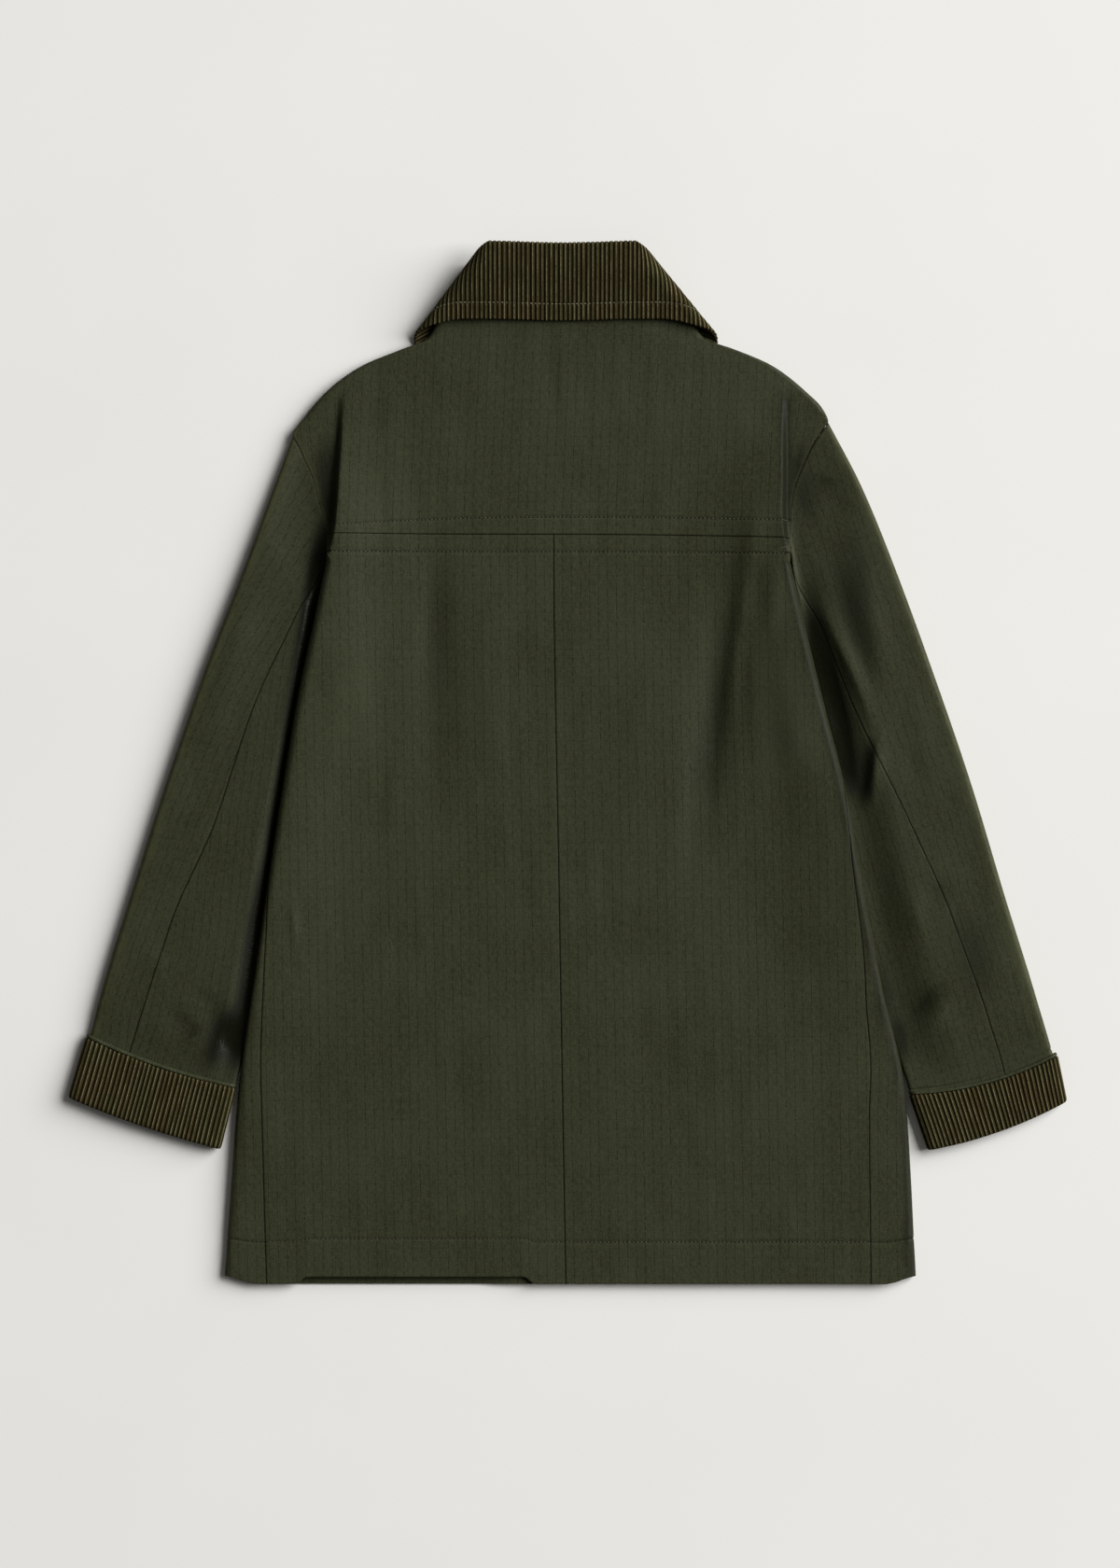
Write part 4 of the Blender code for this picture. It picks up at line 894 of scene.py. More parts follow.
def leaf_shell():
    """The collar's leaf, its wales from the fold down to its lower edge."""
    places, high, across = wale_columns(2 * COLLAR_HALF, 11)
    x = COLLAR_CENTRE + places - COLLAR_HALF
    outer, inner, deep = [], [], []
    for number, (kind, at, way) in enumerate(leaf_rows()):
        uneven = 0.93 + 0.07 * crumple(x, np.full_like(x, 3.0 * number), 21, 9.0, 30.0)
        pile = WALE_HEIGHT * (1 - high * uneven)
        if kind == "bend":
            radius, small = FOLD_BEND - pile, FOLD_BEND - CORDUROY
            depth, layer = FOLD_BEND - radius * math.cos(at), FOLD_BEND - radius * math.sin(at)
            inside = FOLD_BEND - small * math.cos(at), FOLD_BEND - small * math.sin(at)
        elif kind == "rim":
            radius = LEAF_EDGE - 0.9 * pile
            depth = LEAF_DEPTH - LEAF_EDGE + radius * math.sin(at)
            layer = LEAF_EDGE - radius * math.cos(at)
            inside = LEAF_DEPTH - LEAF_EDGE + 0.25 * at, CORDUROY
        else:
            pressed = COLLAR_GROOVE * math.exp(-((at - COLLAR_STITCH) / 1.1) ** 2)
            depth = np.full_like(x, at)
            layer = pile * (1 - 0.35 * pressed) + pressed if way > 0 else 2 * FOLD_BEND - pile
            inside = at, (CORDUROY if way > 0 else 2 * FOLD_BEND - CORDUROY)
        top = COLLAR_TOP - collar_sag(x)
        outer.append(roll_under(x, top - depth * leaf_depth(x), layer))
        inner.append(roll_under(x, top - inside[0] * leaf_depth(x), inside[1]))
        deep.append(np.broadcast_to(depth, x.shape))
    outer, inner = np.array(outer), np.array(inner)
    uv = np.stack((np.broadcast_to(x, outer.shape[:2]) * MM, np.array(deep) * MM), -1)
    return {"outer": outer, "inner": inner, "uv": uv, "across": np.broadcast_to(across, outer.shape[:2])}


def plain_cloth(outer, inner, uv, wear):
    """A small oilskin shell without seams or folds of its own."""
    outer = np.array(outer)
    plain = np.zeros(outer.shape[:2])
    return {"outer": outer, "inner": np.array(inner), "uv": uv, "wear": plain + wear, "relief": plain,
            "seam": plain, "sewn": plain + STITCH_FAR}


def stand_shell():
    """The hidden oilskin stand that carries the leaf."""
    x = COLLAR_CENTRE + np.linspace(-STAND_HALF, STAND_HALF, 73)
    outer, inner = [], []
    for depth in np.linspace(UNDER_FOLD + GAP, STAND_DEPTH, 12):
        layer = STAND_LAYERS[0] + (STAND_LAYERS[1] - STAND_LAYERS[0]) * smooth(depth / STAND_DEPTH)
        outer.append(roll_under(x, COLLAR_TOP - depth, layer))
        inner.append(roll_under(x, COLLAR_TOP - depth, layer + CLOTH))
    return plain_cloth(outer, inner, np.array(outer)[:, :, :2] * MM, 0.0)


def cuff_shell(side):
    """A turn-back cuff of corduroy, its wales along the arm and all the way round."""
    length = ring_length(side)[-1]
    places, high, across = wale_columns(length, 31 + (side == "left"))
    share = places / length
    outer, inner = [], []
    for row, tight in CUFF_ROWS:
        wander = 0.9 * crumple(places, np.full_like(places, 40 * row), 7, 30.0, 90.0) / length
        wandered = (share + wander * row * (1 - row)) % 1.0
        flat, deep = [along_ring(side, wandered, row, inset) for inset in (0.0, 1.0)]
        outer.append(flat + (deep - flat) * (WALE_HEIGHT * (1 - high) + tight)[:, None])
        inner.append(along_ring(side, share, min(row, 0.985), CORDUROY))
    outer, inner = np.array(outer), np.array(inner)
    swell = CUFF_SWELL * crumple(outer[:, :, 0], outer[:, :, 1], 17, 25.0, 70.0)
    swell = smooth((outer[:, :, 2] - CUFF_THICK / 2) / 3) * swell
    outer[:, :, 2] += swell
    inner[:, :, 2] += swell
    rows = np.array([row for row, tight in CUFF_ROWS]) * CUFF_DEPTH
    grid = np.meshgrid(np.append(places, length) * MM, rows * MM)
    return {"outer": outer, "inner": inner, "uv": np.stack(grid, -1),
            "across": np.broadcast_to(across, outer.shape[:2])}


def cuff_edge_shell(side):
    """The narrow oilskin edge that stands above the cuff's upper edge."""
    length = ring_length(side)[-1]
    share = np.linspace(0, 1, 160, endpoint=False)
    outer, inner = [], []
    for above, tight in ((CUFF_EDGE + GAP, 1.0), (CUFF_EDGE, 0.45), (0.6 * CUFF_EDGE, 0.1),
                         (0.5, 0.2), (GAP, 0.8)):
        outer.append(along_ring(side, share, 0.0, CUFF_EDGE_INSET + tight, above))
        inner.append(along_ring(side, share, 0.0, CUFF_EDGE_INSET + CLOTH + 0.3, above))
    outer = np.array(outer)
    lumpy = 0.25 * crumple(outer[:, :, 0], outer[:, :, 1], 19, 7.0, 20.0)
    outer[:, :, 2] += lumpy * smooth((outer[:, :, 2] - CUFF_THICK / 2) / 3)
    grid = np.meshgrid(np.append(share, 1) * length * MM, np.linspace(0, CUFF_EDGE, len(outer)) * MM)
    return plain_cloth(outer, inner, np.stack(grid, -1), CUFF_EDGE_WEAR)


def placed(points):
    """Points of the jacket in metres, with the whole jacket's middle at the origin."""
    return (np.asarray(points, float) - (*ORIGIN, 0.0)) * MM


def linked(name, mesh, material):
    piece = bpy.data.objects.new(name, mesh)
    bpy.context.scene.collection.objects.link(piece)
    mesh.materials.append(material)
    return piece


def shell_object(name, shell, material, ring=False):
    """One closed shell from the grids of its outer and inner faces, with its UV map and attributes.

    A ring's last column joins its first.
    """
    rows, columns = shell["outer"].shape[:2]
    down, along = np.arange(rows - 1), np.arange(columns - (not ring))
    i, j = [part.ravel() for part in np.meshgrid(down, along, indexing="ij")]
    # Of each group of faces, the face of the cloth (0 outer, 1 inner), row and column of each corner.
    groups = [((0, i, j), (0, i, j + 1), (0, i + 1, j + 1), (0, i + 1, j)),
              ((1, i + 1, j), (1, i + 1, j + 1), (1, i, j + 1), (1, i, j))]
    groups += [((0, i, along), (1, i, along), (1, i, along + 1), (0, i, along + 1)) for i in (0, rows - 1)]
    if not ring:
        groups += [((0, down, j), (0, down + 1, j), (1, down + 1, j), (1, down, j)) for j in (0, columns - 1)]
    faces = np.concatenate([np.stack([face * rows * columns + i * columns + j % columns
                                      for face, i, j in group], 1) for group in groups])
    places = np.concatenate([np.stack([shell["uv"][i, j] for face, i, j in group], 1) for group in groups])
    mesh = bpy.data.meshes.new(name)
    points = placed(np.concatenate([shell[face].reshape(-1, 3) for face in ("outer", "inner")]))
    mesh.vertices.add(len(points))
    mesh.vertices.foreach_set("co", points.ravel())
    mesh.loops.add(faces.size)
    mesh.loops.foreach_set("vertex_index", faces.ravel().astype(np.int32))
    mesh.polygons.add(len(faces))
    mesh.polygons.foreach_set("loop_start", np.arange(0, faces.size, 4, dtype=np.int32))
    mesh.uv_layers.new(name="cloth").data.foreach_set("uv", places.ravel())
    for key in ("wear", "relief", "seam", "sewn", "across"):
        if key in shell:
            values = np.tile(np.asarray(shell[key], float).ravel(), 2)
            mesh.attributes.new(key, "FLOAT", "POINT").data.foreach_set("value", values)
    mesh.update()
    mesh.validate()
    work = bmesh.new()
    work.from_mesh(mesh)
    bmesh.ops.recalc_face_normals(work, faces=work.faces)
    work.to_mesh(mesh)
    work.free()
    mesh.shade_smooth()
    mesh.set_sharp_from_angle(angle=math.radians(60))
    return linked(name, mesh, material)


def stitches(name, rows, material, length, pitch, radius):
    """Short rounded threads along fine lines of (x, up, z), one for every pitch from a line's start."""
    shape = [(t, r, a) for t, r in ((-0.5, 0.4), (-0.3, 1.0), (0.3, 1.0), (0.5, 0.4))
             for a in np.linspace(0, 2 * math.pi, 6, endpoint=False)]
    points, faces = [], []
    draw = np.random.default_rng(5)
    for line in rows:
        far = np.concatenate(([0], np.cumsum(np.linalg.norm(np.diff(line, axis=0), axis=1))))
        for middle in np.arange(0.5 * pitch, far[-1] - 0.5 * pitch, pitch):
            at, ahead = [np.array([np.interp(place, far, line[:, k]) for k in range(3)])
                         for place in (middle, middle + 1)]
            ahead = (ahead - at) / np.linalg.norm(ahead - at)
            side = np.cross((0, 0, 1), ahead)
            side = side / np.linalg.norm(side) + ahead * draw.uniform(-0.12, 0.12)
            over = np.cross(ahead, side)
            first = len(points)
            for t, r, a in shape:
                dip = radius * 1.1 * (2 * abs(t)) ** 3
                points.append(at + ahead * t * length + side * radius * r * math.cos(a)
                              + over * (radius * r * math.sin(a) * 0.8 - dip))
            for low in range(first, first + 18, 6):
                for k in range(6):
                    n = (k + 1) % 6
                    faces.append((low + k, low + n, low + 6 + n, low + 6 + k))
            faces.append(tuple(first + k for k in range(5, -1, -1)))
            faces.append(tuple(first + 18 + k for k in range(6)))
    mesh = bpy.data.meshes.new(name)
    mesh.from_pydata(placed(points).tolist(), [], faces)
    mesh.shade_smooth()
    return linked(name, mesh, material)


def body_lines(station, sunk):
    """Fine lines over the back in one row, from the centre to each side seam."""
    row = body_row(station)
    for side in BOTH:
        section = body_section(row, side, "back")
        yield between(section, section[0, 0], row[side + "_fold"]["seam"] + STITCH_END)[:, :3] - (0, 0, sunk)


def linear(code):
    """An sRGB hex colour as linear RGBA."""
    parts = [int(code[k:k + 2], 16) / 255 for k in (1, 3, 5)]
    return (*[c / 12.92 if c <= 0.04045 else ((c + 0.055) / 1.055) ** 2.4 for c in parts], 1.0)


def connect(node, inputs):
    """Sets a node's inputs, each to a value, a socket, or the result of a node by its name."""
    tree = node.id_data
    for key, value in inputs.items():
        if isinstance(value, str):
            value = next(output for output in tree.nodes[value].outputs if output.enabled)
        if isinstance(value, bpy.types.NodeSocket):
            tree.links.new(value, node.inputs[key])
        else:
            node.inputs[key].default_value = value


def add(tree, name, kind, inputs=None, **settings):
    """Adds a named node with its settings and links."""
    node = tree.nodes.new("ShaderNode" + kind)
    node.name = node.label = name
    for key, value in settings.items():
        setattr(node, key, value)
    connect(node, inputs or {})
    return node


def new_material(name):
    material = bpy.data.materials.new(name)
    material.use_nodes = True
    tree = material.node_tree
    return material, tree, tree.nodes["Principled BSDF"]


def marks(tree, attributes, noises):
    """Starts a cloth's pattern: its UV map, its attributes, and noises with their marks' widths across
    and along in metres, and their detail."""
    add(tree, "cloth", "UVMap", uv_map="cloth")
    for name in attributes:
        add(tree, name, "Attribute", attribute_name=name)
    for name, across, along, detail in noises:
        scale = (1 / across, 1 / along, 1)
        add(tree, name + " map", "Mapping", {0: "cloth", 1: (99 * across, 0, 0), 3: scale})
        add(tree, name, "TexNoise", noise_dimensions="2D", inputs={
            "Vector": name + " map", "Scale": 1.0, "Detail": detail, "Roughness": 0.6})


def layers(tree, masks, products, ground, colours):
    """Lays colours over the ground, each through its mask, and returns the name of the result.

    A mask has its source, the values from which and to which it changes, and the two that it gives.
    A product is that of two masks.
    """
    for name, source, low, high, least, most in masks:
        add(tree, name, "MapRange", {0: source, 1: low, 2: high, 3: least, 4: most},
            interpolation_type="SMOOTHSTEP")
    for name, first, second in products:
        add(tree, name, "Math", {0: first, 1: second}, operation="MULTIPLY")
    colour = linear(ground)
    for mask, code in colours:
        add(tree, mask + " colour", "Mix", {0: mask, 6: colour, 7: linear(code)}, data_type="RGBA")
        colour = mask + " colour"
    return colour


def waxed_cotton(looks):
    """Ripstop cotton, plain woven with a thicker thread at each grid line, dyed olive and waxed.

    The wax gives the eye a deep, slightly blotchy green that is neither matt nor glossy, and it has
    rubbed off to a yellower olive along the folds and the seams' lips. Shade is painted into its
    troughs and needle holes, and light onto its ridges, from the relief attribute.
    """
    material, tree, shader = new_material("waxed ripstop cotton, plain woven")
    # The threads are 0.4 mm apart. They are drawn as slubs 1.1 mm across, so that they show.
    slub = looks.thread
    marks(tree, ("wear", "relief", "seam", "sewn"), (
        ("blotch", 0.055, 0.070, 4.0), ("mottle", 0.007, 0.010, 3.0), ("crinkle", 0.011, 0.017, 3.0),
        ("warp", slub, 4 * slub, 2.0), ("weft", 3 * slub, slub, 2.0), ("breaks", 0.004, 0.0016, 1.0)))
    axes = add(tree, "axes", "SeparateXYZ", {0: "cloth"})
    for name, axis, pitch in (("from upright", "X", looks.grid_across), ("from level", "Y", looks.grid_along),
                              ("from hole", "X", looks.stitch)):
        add(tree, name, "Math", {0: axes.outputs[axis], 1: pitch / 2}, operation="PINGPONG")
    add(tree, "grain", "Math", {0: "weft", 1: 0.7, 2: "warp"}, operation="MULTIPLY_ADD")
    colour = layers(
        tree,
        (("patches", "blotch", 0.30, 0.70, 0.0, 1.0),
         ("warmer", "mottle", 0.35, 0.75, 0.0, 0.35),
         ("slubs", "grain", 0.6, 1.1, 0.0, looks.weave),
         ("unbroken", "breaks", 0.36, 0.58, 0.0, 1.0),
         ("upright", "from upright", 0.00055, 0.0, 0.0, 0.72),
         ("level", "from level", 0.00050, 0.0, 0.0, 0.24),
         # needle holes, painted dark with the shade inside them
         ("hole", "from hole", 0.0007, 0.0, 0.3, 1.0),
         ("beside", "sewn", 0.9, 0.3, 0.0, 0.95),
         # painted shade in the troughs and painted light on the ridges, from the relief
         ("sunk", "relief", 0.0, -8.0, 0.0, 0.9),
         ("raised", "relief", 0.0, 2.4, 0.0, 0.25),
         ("patchy", "mottle", 0.25, 0.65, 0.14, 0.38),
         ("joined", "seam", 0.0, 1.0, 0.0, 0.74),
         ("soaked", "relief", -6.0, -11.0, 0.0, -0.34),
         ("rough", "blotch", 0.3, 0.7, looks.roughness - 0.05, looks.roughness + 0.07)),
        (("thick upright", "upright", "unbroken"), ("thick level", "level", "unbroken"),
         ("needle hole", "hole", "beside"), ("rubbed", "wear", "patchy")),
        looks.deep_hex,
        # sunk and needle hole lay painted shade, and raised lays painted light
        (("patches", looks.cloth_hex), ("warmer", looks.warm_hex), ("slubs", looks.pale_hex),
         ("thick upright", looks.line_hex), ("thick level", looks.line_hex), ("sunk", looks.floor_hex),
         ("raised", looks.pale_hex), ("rubbed", looks.rubbed_hex), ("joined", looks.line_hex),
         ("needle hole", looks.floor_hex)))
    # Deep folds and seams are smoother, so that they don't glitter from the side.
    for name, first, factor, second in (("weave", "thick upright", 0.6, "grain"),
                                        ("dull", "seam", -0.18, "soaked")):
        add(tree, name, "Math", {0: first, 1: factor, 2: second}, operation="MULTIPLY_ADD")
    add(tree, "roughness", "Math", {0: "rough", 1: "dull"}, operation="ADD")
    add(tree, "fine", "Bump", {"Height": "weave", "Strength": 0.35, "Distance": 0.0002})
    add(tree, "crumpled", "Bump",
        {"Height": "crinkle", "Strength": 0.30, "Distance": 0.0010, "Normal": "fine"})
    connect(shader, {"Base Color": colour, "Roughness": "roughness", "Specular IOR Level": looks.gloss,
                     "Normal": "crumpled", "IOR": 1.47})
    return material


def wide_wale_corduroy(looks):
    """Wide-wale cotton corduroy, cut pile brushed upright along each wale.

    The cloth is brown in some patches and olive in others. Its furrows are painted near black as
    shade, and each crest carries a thin pale line of painted highlight for the pile's sheen.
    """
    material, tree, shader = new_material("wide-wale cotton corduroy, cut pile")
    marks(tree, ("across",), (
        ("patch", 0.024, 0.045, 3.0), ("pile", 0.0008, 0.0022, 2.0), ("stretch", 0.004, 0.030, 2.0)))
    colour = layers(
        tree,
        (("patches", "patch", 0.38, 0.62, 0.0, 1.0),
         ("tips", "pile", 0.35, 0.75, 0.0, 0.5),
         # painted shade in the furrows, and a painted highlight line on each crest
         ("furrow", "across", 0.46, 0.0, 0.0, 0.97),
         ("crest", "across", 0.80, 1.0, 0.0, 0.9),
         ("parted", "stretch", 0.34, 0.60, 0.35, 1.0),
         ("tufted", "pile", 0.25, 0.60, 0.45, 1.0),
         ("rough", "pile", 0.3, 0.7, 0.82, 0.98)),
        (("parting", "crest", "parted"), ("line", "parting", "tufted")),
        looks.brown_hex,
        (("patches", looks.olive_hex), ("tips", looks.tip_hex), ("furrow", looks.furrow_shade_hex),
         ("line", looks.line_hex)))
    add(tree, "tufts", "Bump", {"Height": "pile", "Strength": 0.55, "Distance": 0.0004})
    connect(shader, {"Base Color": colour, "Roughness": "rough", "Normal": "tufts", "IOR": 1.46,
                     "Specular IOR Level": 0.05, "Sheen Weight": looks.sheen, "Sheen Roughness": 0.45,
                     "Sheen Tint": linear("#8a8460")})
    return material


def cotton_thread(looks, share):
    """Three-ply cotton sewing thread: a dull line a little paler than what it sews.

    share is how much of the collar's paler thread shows in it.
    """
    material, tree, shader = new_material("cotton sewing thread, spun")
    place = add(tree, "place", "TexCoord").outputs["Object"]
    add(tree, "ply", "TexNoise", {"Vector": place, "Scale": 900.0, "Detail": 2.0})
    for name, least, most in (("twist", 0.0, share), ("rough", 0.65, 0.85)):
        add(tree, name, "MapRange", {0: "ply", 1: 0.35, 2: 0.65, 3: least, 4: most})
    add(tree, "colour", "Mix", {0: "twist", 6: linear(looks.thread_hex), 7: linear(looks.collar_hex)},
        data_type="RGBA")
    connect(shader, {"Base Color": "colour", "Roughness": "rough", "Specular IOR Level": 0.25})
    return material


def matt_paper(looks):
    """Uncoated paper of the background sheet, pale and even with the faintest speck."""
    material, tree, shader = new_material("uncoated paper, pale")
    add(tree, "speck", "TexNoise", {"Scale": 260.0, "Detail": 3.0})
    add(tree, "specks", "MapRange", {0: "speck", 1: 0.3, 2: 0.7, 3: 0.0, 4: 0.25})
    add(tree, "colour", "Mix", {0: "specks", 6: linear(looks.floor_hex), 7: linear("#e6e5e1")},
        data_type="RGBA")
    connect(shader, {"Base Color": "colour", "Roughness": 0.95, "Specular IOR Level": 0.1})
    return material


def number(name, description, default, **kind):
    return bpy.props.FloatProperty(name=name, description=description, default=default, **kind)


def hex_colour(name, description, default):
    return bpy.props.StringProperty(name=name, description=description + ", sRGB", default=default)


class ClothLooks(bpy.types.PropertyGroup):
    """Sizes and colours of the waxed cotton."""
    grid_across: number("Grid across", "From one upright line to the next", 0.0067, unit="LENGTH")
    grid_along: number("Grid along", "From one level line to the next", 0.0069, unit="LENGTH")
    thread: number("Slub", "Width of a slub in the weave", 0.0011, unit="LENGTH")
    stitch: number("Stitch holes", "From one needle hole to the next", 0.0031, unit="LENGTH")
    roughness: number("Roughness", "Of the wax", 0.56, subtype="FACTOR")
    gloss: number("Gloss", "Strength of the wax's shine", 0.12, subtype="FACTOR")
    weave: number("Weave", "How strongly the slubs show", 0.46, subtype="FACTOR")
    cloth_hex: hex_colour("Cloth", "Waxed cloth", "#303322")
    deep_hex: hex_colour("Deep", "Where the wax lies thicker", "#2b2d1c")
    warm_hex: hex_colour("Warm", "Small warmer patches", "#343421")
    # also the painted light on raised folds
    pale_hex: hex_colour("Pale", "Raised threads", "#424532")
    line_hex: hex_colour("Grid", "Grid lines and seams", "#14150a")
    floor_hex: hex_colour("Folds' floors", "Where no light gets in", "#0a0b04")
    rubbed_hex: hex_colour("Rubbed", "Rubbed folds and edges", "#504f30")


class CorduroyLooks(bpy.types.PropertyGroup):
    """Sheen and colours of the corduroy."""
    sheen: number("Sheen", "Of the pile", 0.08, subtype="FACTOR")
    brown_hex: hex_colour("Brown", "Brown patches", "#2e2613")
    olive_hex: hex_colour("Olive", "Olive patches", "#2a2915")
    tip_hex: hex_colour("Tips", "Tips of the pile", "#40371c")
    # painted shade in the furrows
    furrow_shade_hex: hex_colour("Furrow", "Between two wales", "#070501")
    # painted highlight on each crest
    line_hex: hex_colour("Crest", "The thin line on each wale", "#928c6e")


class ThreadLooks(bpy.types.PropertyGroup):
    """Sizes and colours of the stitches."""
    pitch: number("Pitch", "From one stitch to the next", 0.0031, unit="LENGTH")
    length: number("Length", "Of the thread that shows", 0.0022, unit="LENGTH")
    radius: number("Radius", "Of the thread", 0.00028, unit="LENGTH")
    thread_hex: hex_colour("Thread", "Sewing thread", "#34342a")
    collar_hex: hex_colour("Collar's thread", "Sewing thread on the corduroy", "#8d8868")


class StageLooks(bpy.types.PropertyGroup):
    """Light, floor and camera."""
    key: number("Key light", "Power of the large soft light", 5330.0, unit="POWER")
    fill: number("Fill", "Strength of the light from all round", 0.10)
    height: number("Camera height", "Above the floor", 4.0, unit="LENGTH")
    floor_hex: hex_colour("Floor", "Pale paper", "#eeedea")


def looks_of(context, name):
    return getattr(context.scene, "jacket_" + name)


def material_for(context, name):
    """The material of that name, made once with the scene's looks."""
    made = context.scene.get("jacket_material_" + name)
    if made and made in bpy.data.materials:
        return bpy.data.materials[made]
    makers = {"cloth": waxed_cotton, "corduroy": wide_wale_corduroy}
    material = makers[name](looks_of(context, name))
    context.scene["jacket_material_" + name] = material.name
    return material


SLOTS = {"cloth": "oilskin", "corduroy": "corduroy"}
# Each piece as it is cut, without seam allowances: width and length in mm, and area in mm2.
CUT = {
    "yoke": (400, 215, 68000),
    "back": (262, 600, 135000),
    "front": (300, 780, 190000),
    "sleeve_top": (200, 520, 75000),
    "sleeve_under": (110, 440, 31000),
    "cuff": (240, 50, 11500),
    "leaf": (400, 75, 26000),
    "stand": (150, 30, 4300),
}


def dress(piece, node, slot):
    """The piece lies on the jacket's one body and stands for its solid."""
    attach(piece, "root")
    if node:
        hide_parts(node)


def sewn_piece(context, name, kind, node, shell, ring=False):
    """Makes one piece of waxed cloth or of corduroy in place of its solid."""
    piece = shell_object(name + "_" + kind, shell, material_for(context, kind), ring)
    dress(piece, node, SLOTS[kind])
    return piece


def lay(piece, cut):
    """Looks up the size that a piece was cut to; neither the size nor the piece is used."""
    width, length, area = CUT[cut]


class OBJECT_OT_jacket_back(bpy.types.Operator):
    """Make the yoke and the two back panels of waxed cotton"""
    bl_idname = "object.jacket_back"
    bl_label = "Back and yoke"

    def execute(self, context):
        yoke = sewn_piece(context, "yoke", "cloth", "back_yoke", yoke_shell())
        lay(yoke, "yoke")
        for side in BOTH:
            name = "back_" + side
            lay(sewn_piece(context, name, "cloth", name, back_shell(side)), "back")
        return {"FINISHED"}


class OBJECT_OT_jacket_fronts(bpy.types.Operator):
    """Make the two fronts, which lie under the back and show along its sides"""
    bl_idname = "object.jacket_fronts"
    bl_label = "Fronts"

    def execute(self, context):
        for side in BOTH:
            name = "front_" + side
            lay(sewn_piece(context, name, "cloth", name, front_shell(side)), "front")
        return {"FINISHED"}


class OBJECT_OT_jacket_sleeves(bpy.types.Operator):
    """Make the top and under half of both sleeves"""
    bl_idname = "object.jacket_sleeves"
    bl_label = "Sleeves"

    def execute(self, context):
        for side in BOTH:
            for half, shell in zip(("top", "under"), sleeve_shells(side)):
                name = "sleeve_" + side + "_" + half
                lay(sewn_piece(context, name, "cloth", name, shell), "sleeve_" + half)
        return {"FINISHED"}


class OBJECT_OT_jacket_cuffs(bpy.types.Operator):
    """Make the turn-back corduroy cuffs and the narrow oilskin edge above each"""
    bl_idname = "object.jacket_cuffs"
    bl_label = "Cuffs"

    def execute(self, context):
        for side in BOTH:
            name, edge_name = "cuff_" + side, "cuff_edge_" + side
            cuff = sewn_piece(context, name, "corduroy", name, cuff_shell(side), True)
            edge = sewn_piece(context, edge_name, "cloth", edge_name, cuff_edge_shell(side), True)
            lay(cuff, "cuff")
        return {"FINISHED"}


class OBJECT_OT_jacket_collar(bpy.types.Operator):
    """Make the corduroy collar and the stand beneath it"""
    bl_idname = "object.jacket_collar"
    bl_label = "Collar"

    def execute(self, context):
        leaf = sewn_piece(context, "collar", "corduroy", "collar_leaf", leaf_shell())
        lay(leaf, "leaf")
        stand = sewn_piece(context, "stand", "cloth", "collar_stand", stand_shell())
        lay(stand, "stand")
        return {"FINISHED"}


class OBJECT_OT_jacket_stitches(bpy.types.Operator):
    """Sew the rows of stitches along the yoke, the hem and the collar"""
    bl_idname = "object.jacket_stitches"
    bl_label = "Stitches"

    def execute(self, context):
        looks = looks_of(context, "thread")
        sizes = (looks.length / MM, looks.pitch / MM, looks.radius / MM)
        sunk = STITCH_GROOVE[0] - 0.12
        x = COLLAR_CENTRE + np.linspace(-COLLAR_SEWN, COLLAR_SEWN, 500)
        up = COLLAR_TOP - (COLLAR_STITCH * leaf_depth(x) + collar_sag(x))
        yoke = [line for way in (-1, 1) for line in body_lines(YOKE_SEAM + way * YOKE_STITCH, sunk)]
        for name, rows, slot, share in (
                ("yoke", yoke, "oilskin", 0.3),
                ("hem", body_lines(HEM_STITCH, sunk), "oilskin", 0.3),
                ("collar", [roll_under(x, up, COLLAR_GROOVE - 0.1)], "corduroy", 1.0)):
            thread = cotton_thread(looks, share)
            dress(stitches("stitches_" + name, rows, thread, *sizes), None, slot)
        return {"FINISHED"}


FLOOR_HALF = 25.0            # in metres, as all sizes of the stage
FLOOR_LEVEL = -0.0003
KEY_PLACE = (12.8, 6.0, 8.84)
KEY_SIZE = 13.0
VIEW_HEIGHT = 1.176          # what the photograph takes in
VIEW_CENTRE = (-0.0058, -0.01535)


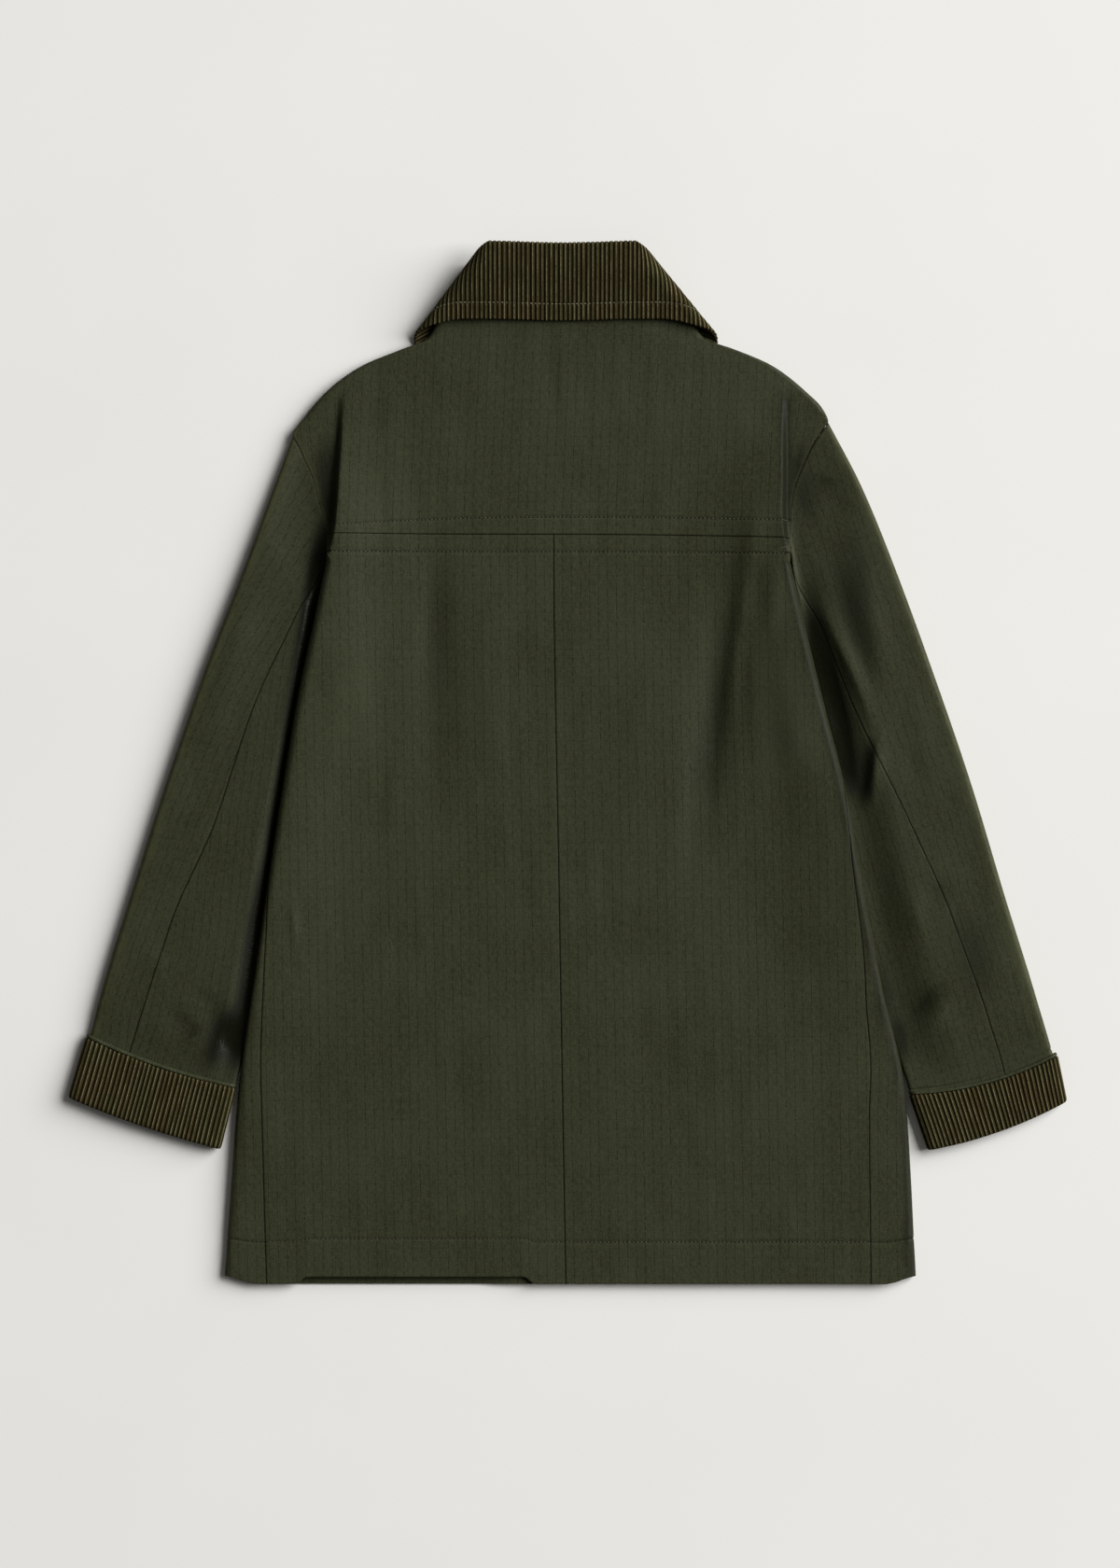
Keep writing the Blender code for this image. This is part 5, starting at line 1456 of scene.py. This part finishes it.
class OBJECT_OT_jacket_stage(bpy.types.Operator):
    """Lay the pale floor, hang the soft light and set the camera straight above"""
    bl_idname = "object.jacket_stage"
    bl_label = "Floor, light and camera"

    def execute(self, context):
        looks = looks_of(context, "stage")
        scene = context.scene
        scene.view_settings.view_transform = "Standard"
        mesh = bpy.data.meshes.new("floor")
        corners = [(x * FLOOR_HALF, y * FLOOR_HALF, FLOOR_LEVEL)
                   for x, y in ((-1, -1), (1, -1), (1, 1), (-1, 1))]
        mesh.from_pydata(corners, [], [(0, 1, 2, 3)])
        linked("floor", mesh, matt_paper(looks))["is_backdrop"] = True
        scene.world = bpy.data.worlds.new("soft room")
        scene.world.use_nodes = True
        background = scene.world.node_tree.nodes["Background"]
        connect(background, {"Color": linear("#f6f5f1"), "Strength": looks.fill})
        key = bpy.data.lights.new("key", "AREA")
        key.shape = "RECTANGLE"
        key.size = key.size_y = KEY_SIZE
        key.energy = looks.key
        key.color = (1.0, 0.998, 0.990)
        lamp = bpy.data.objects.new("key", key)
        lamp.location = KEY_PLACE
        direction = np.array(KEY_PLACE) / np.linalg.norm(KEY_PLACE)
        turn = math.atan2(direction[1], direction[0]) + math.pi / 2
        lamp.rotation_euler = (math.acos(direction[2]), 0.0, turn)
        camera = bpy.data.cameras.new("camera")
        camera.sensor_fit = "VERTICAL"
        camera.sensor_height = 36.0
        camera.lens = camera.sensor_height * looks.height / VIEW_HEIGHT
        camera.clip_end = 50.0
        holder = bpy.data.objects.new("camera", camera)
        holder.location = (*VIEW_CENTRE, looks.height)
        for item in (lamp, holder):
            scene.collection.objects.link(item)
        scene.camera = holder
        return {"FINISHED"}


PIECES = (
    OBJECT_OT_jacket_back, OBJECT_OT_jacket_fronts, OBJECT_OT_jacket_sleeves, OBJECT_OT_jacket_cuffs,
    OBJECT_OT_jacket_collar, OBJECT_OT_jacket_stitches, OBJECT_OT_jacket_stage,
)
LOOKS = {"cloth": ClothLooks, "corduroy": CorduroyLooks, "thread": ThreadLooks, "stage": StageLooks}


class VIEW3D_PT_jacket(bpy.types.Panel):
    """Lists the jacket's looks and the operators that make its pieces"""
    bl_idname = "VIEW3D_PT_jacket"
    bl_label = "Oilskin jacket"
    bl_space_type = "VIEW_3D"
    bl_region_type = "UI"
    bl_category = "Jacket"

    def draw(self, context):
        for name, group in LOOKS.items():
            box = self.layout.box()
            box.label(text=name.capitalize())
            for prop in group.__annotations__:
                box.prop(looks_of(context, name), prop)
        for operator in PIECES:
            self.layout.operator(operator.bl_idname)


def register():
    for group in (*LOOKS.values(), *PIECES, VIEW3D_PT_jacket):
        bpy.utils.register_class(group)
    for name, group in LOOKS.items():
        setattr(bpy.types.Scene, "jacket_" + name, bpy.props.PointerProperty(type=group))


def unregister():
    for name in LOOKS:
        delattr(bpy.types.Scene, "jacket_" + name)
    for group in (VIEW3D_PT_jacket, *reversed(PIECES), *reversed(LOOKS.values())):
        bpy.utils.unregister_class(group)


def main():
    register()
    for operator in PIECES:
        group, name = operator.bl_idname.split(".")
        getattr(getattr(bpy.ops, group), name)()
    sizes = {"cad": CAD_BOX, "visual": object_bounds()}
    plain = {key: [[float(c) for c in corner] for corner in box] for key, box in sizes.items()}


if __name__ == "__main__":
    main()
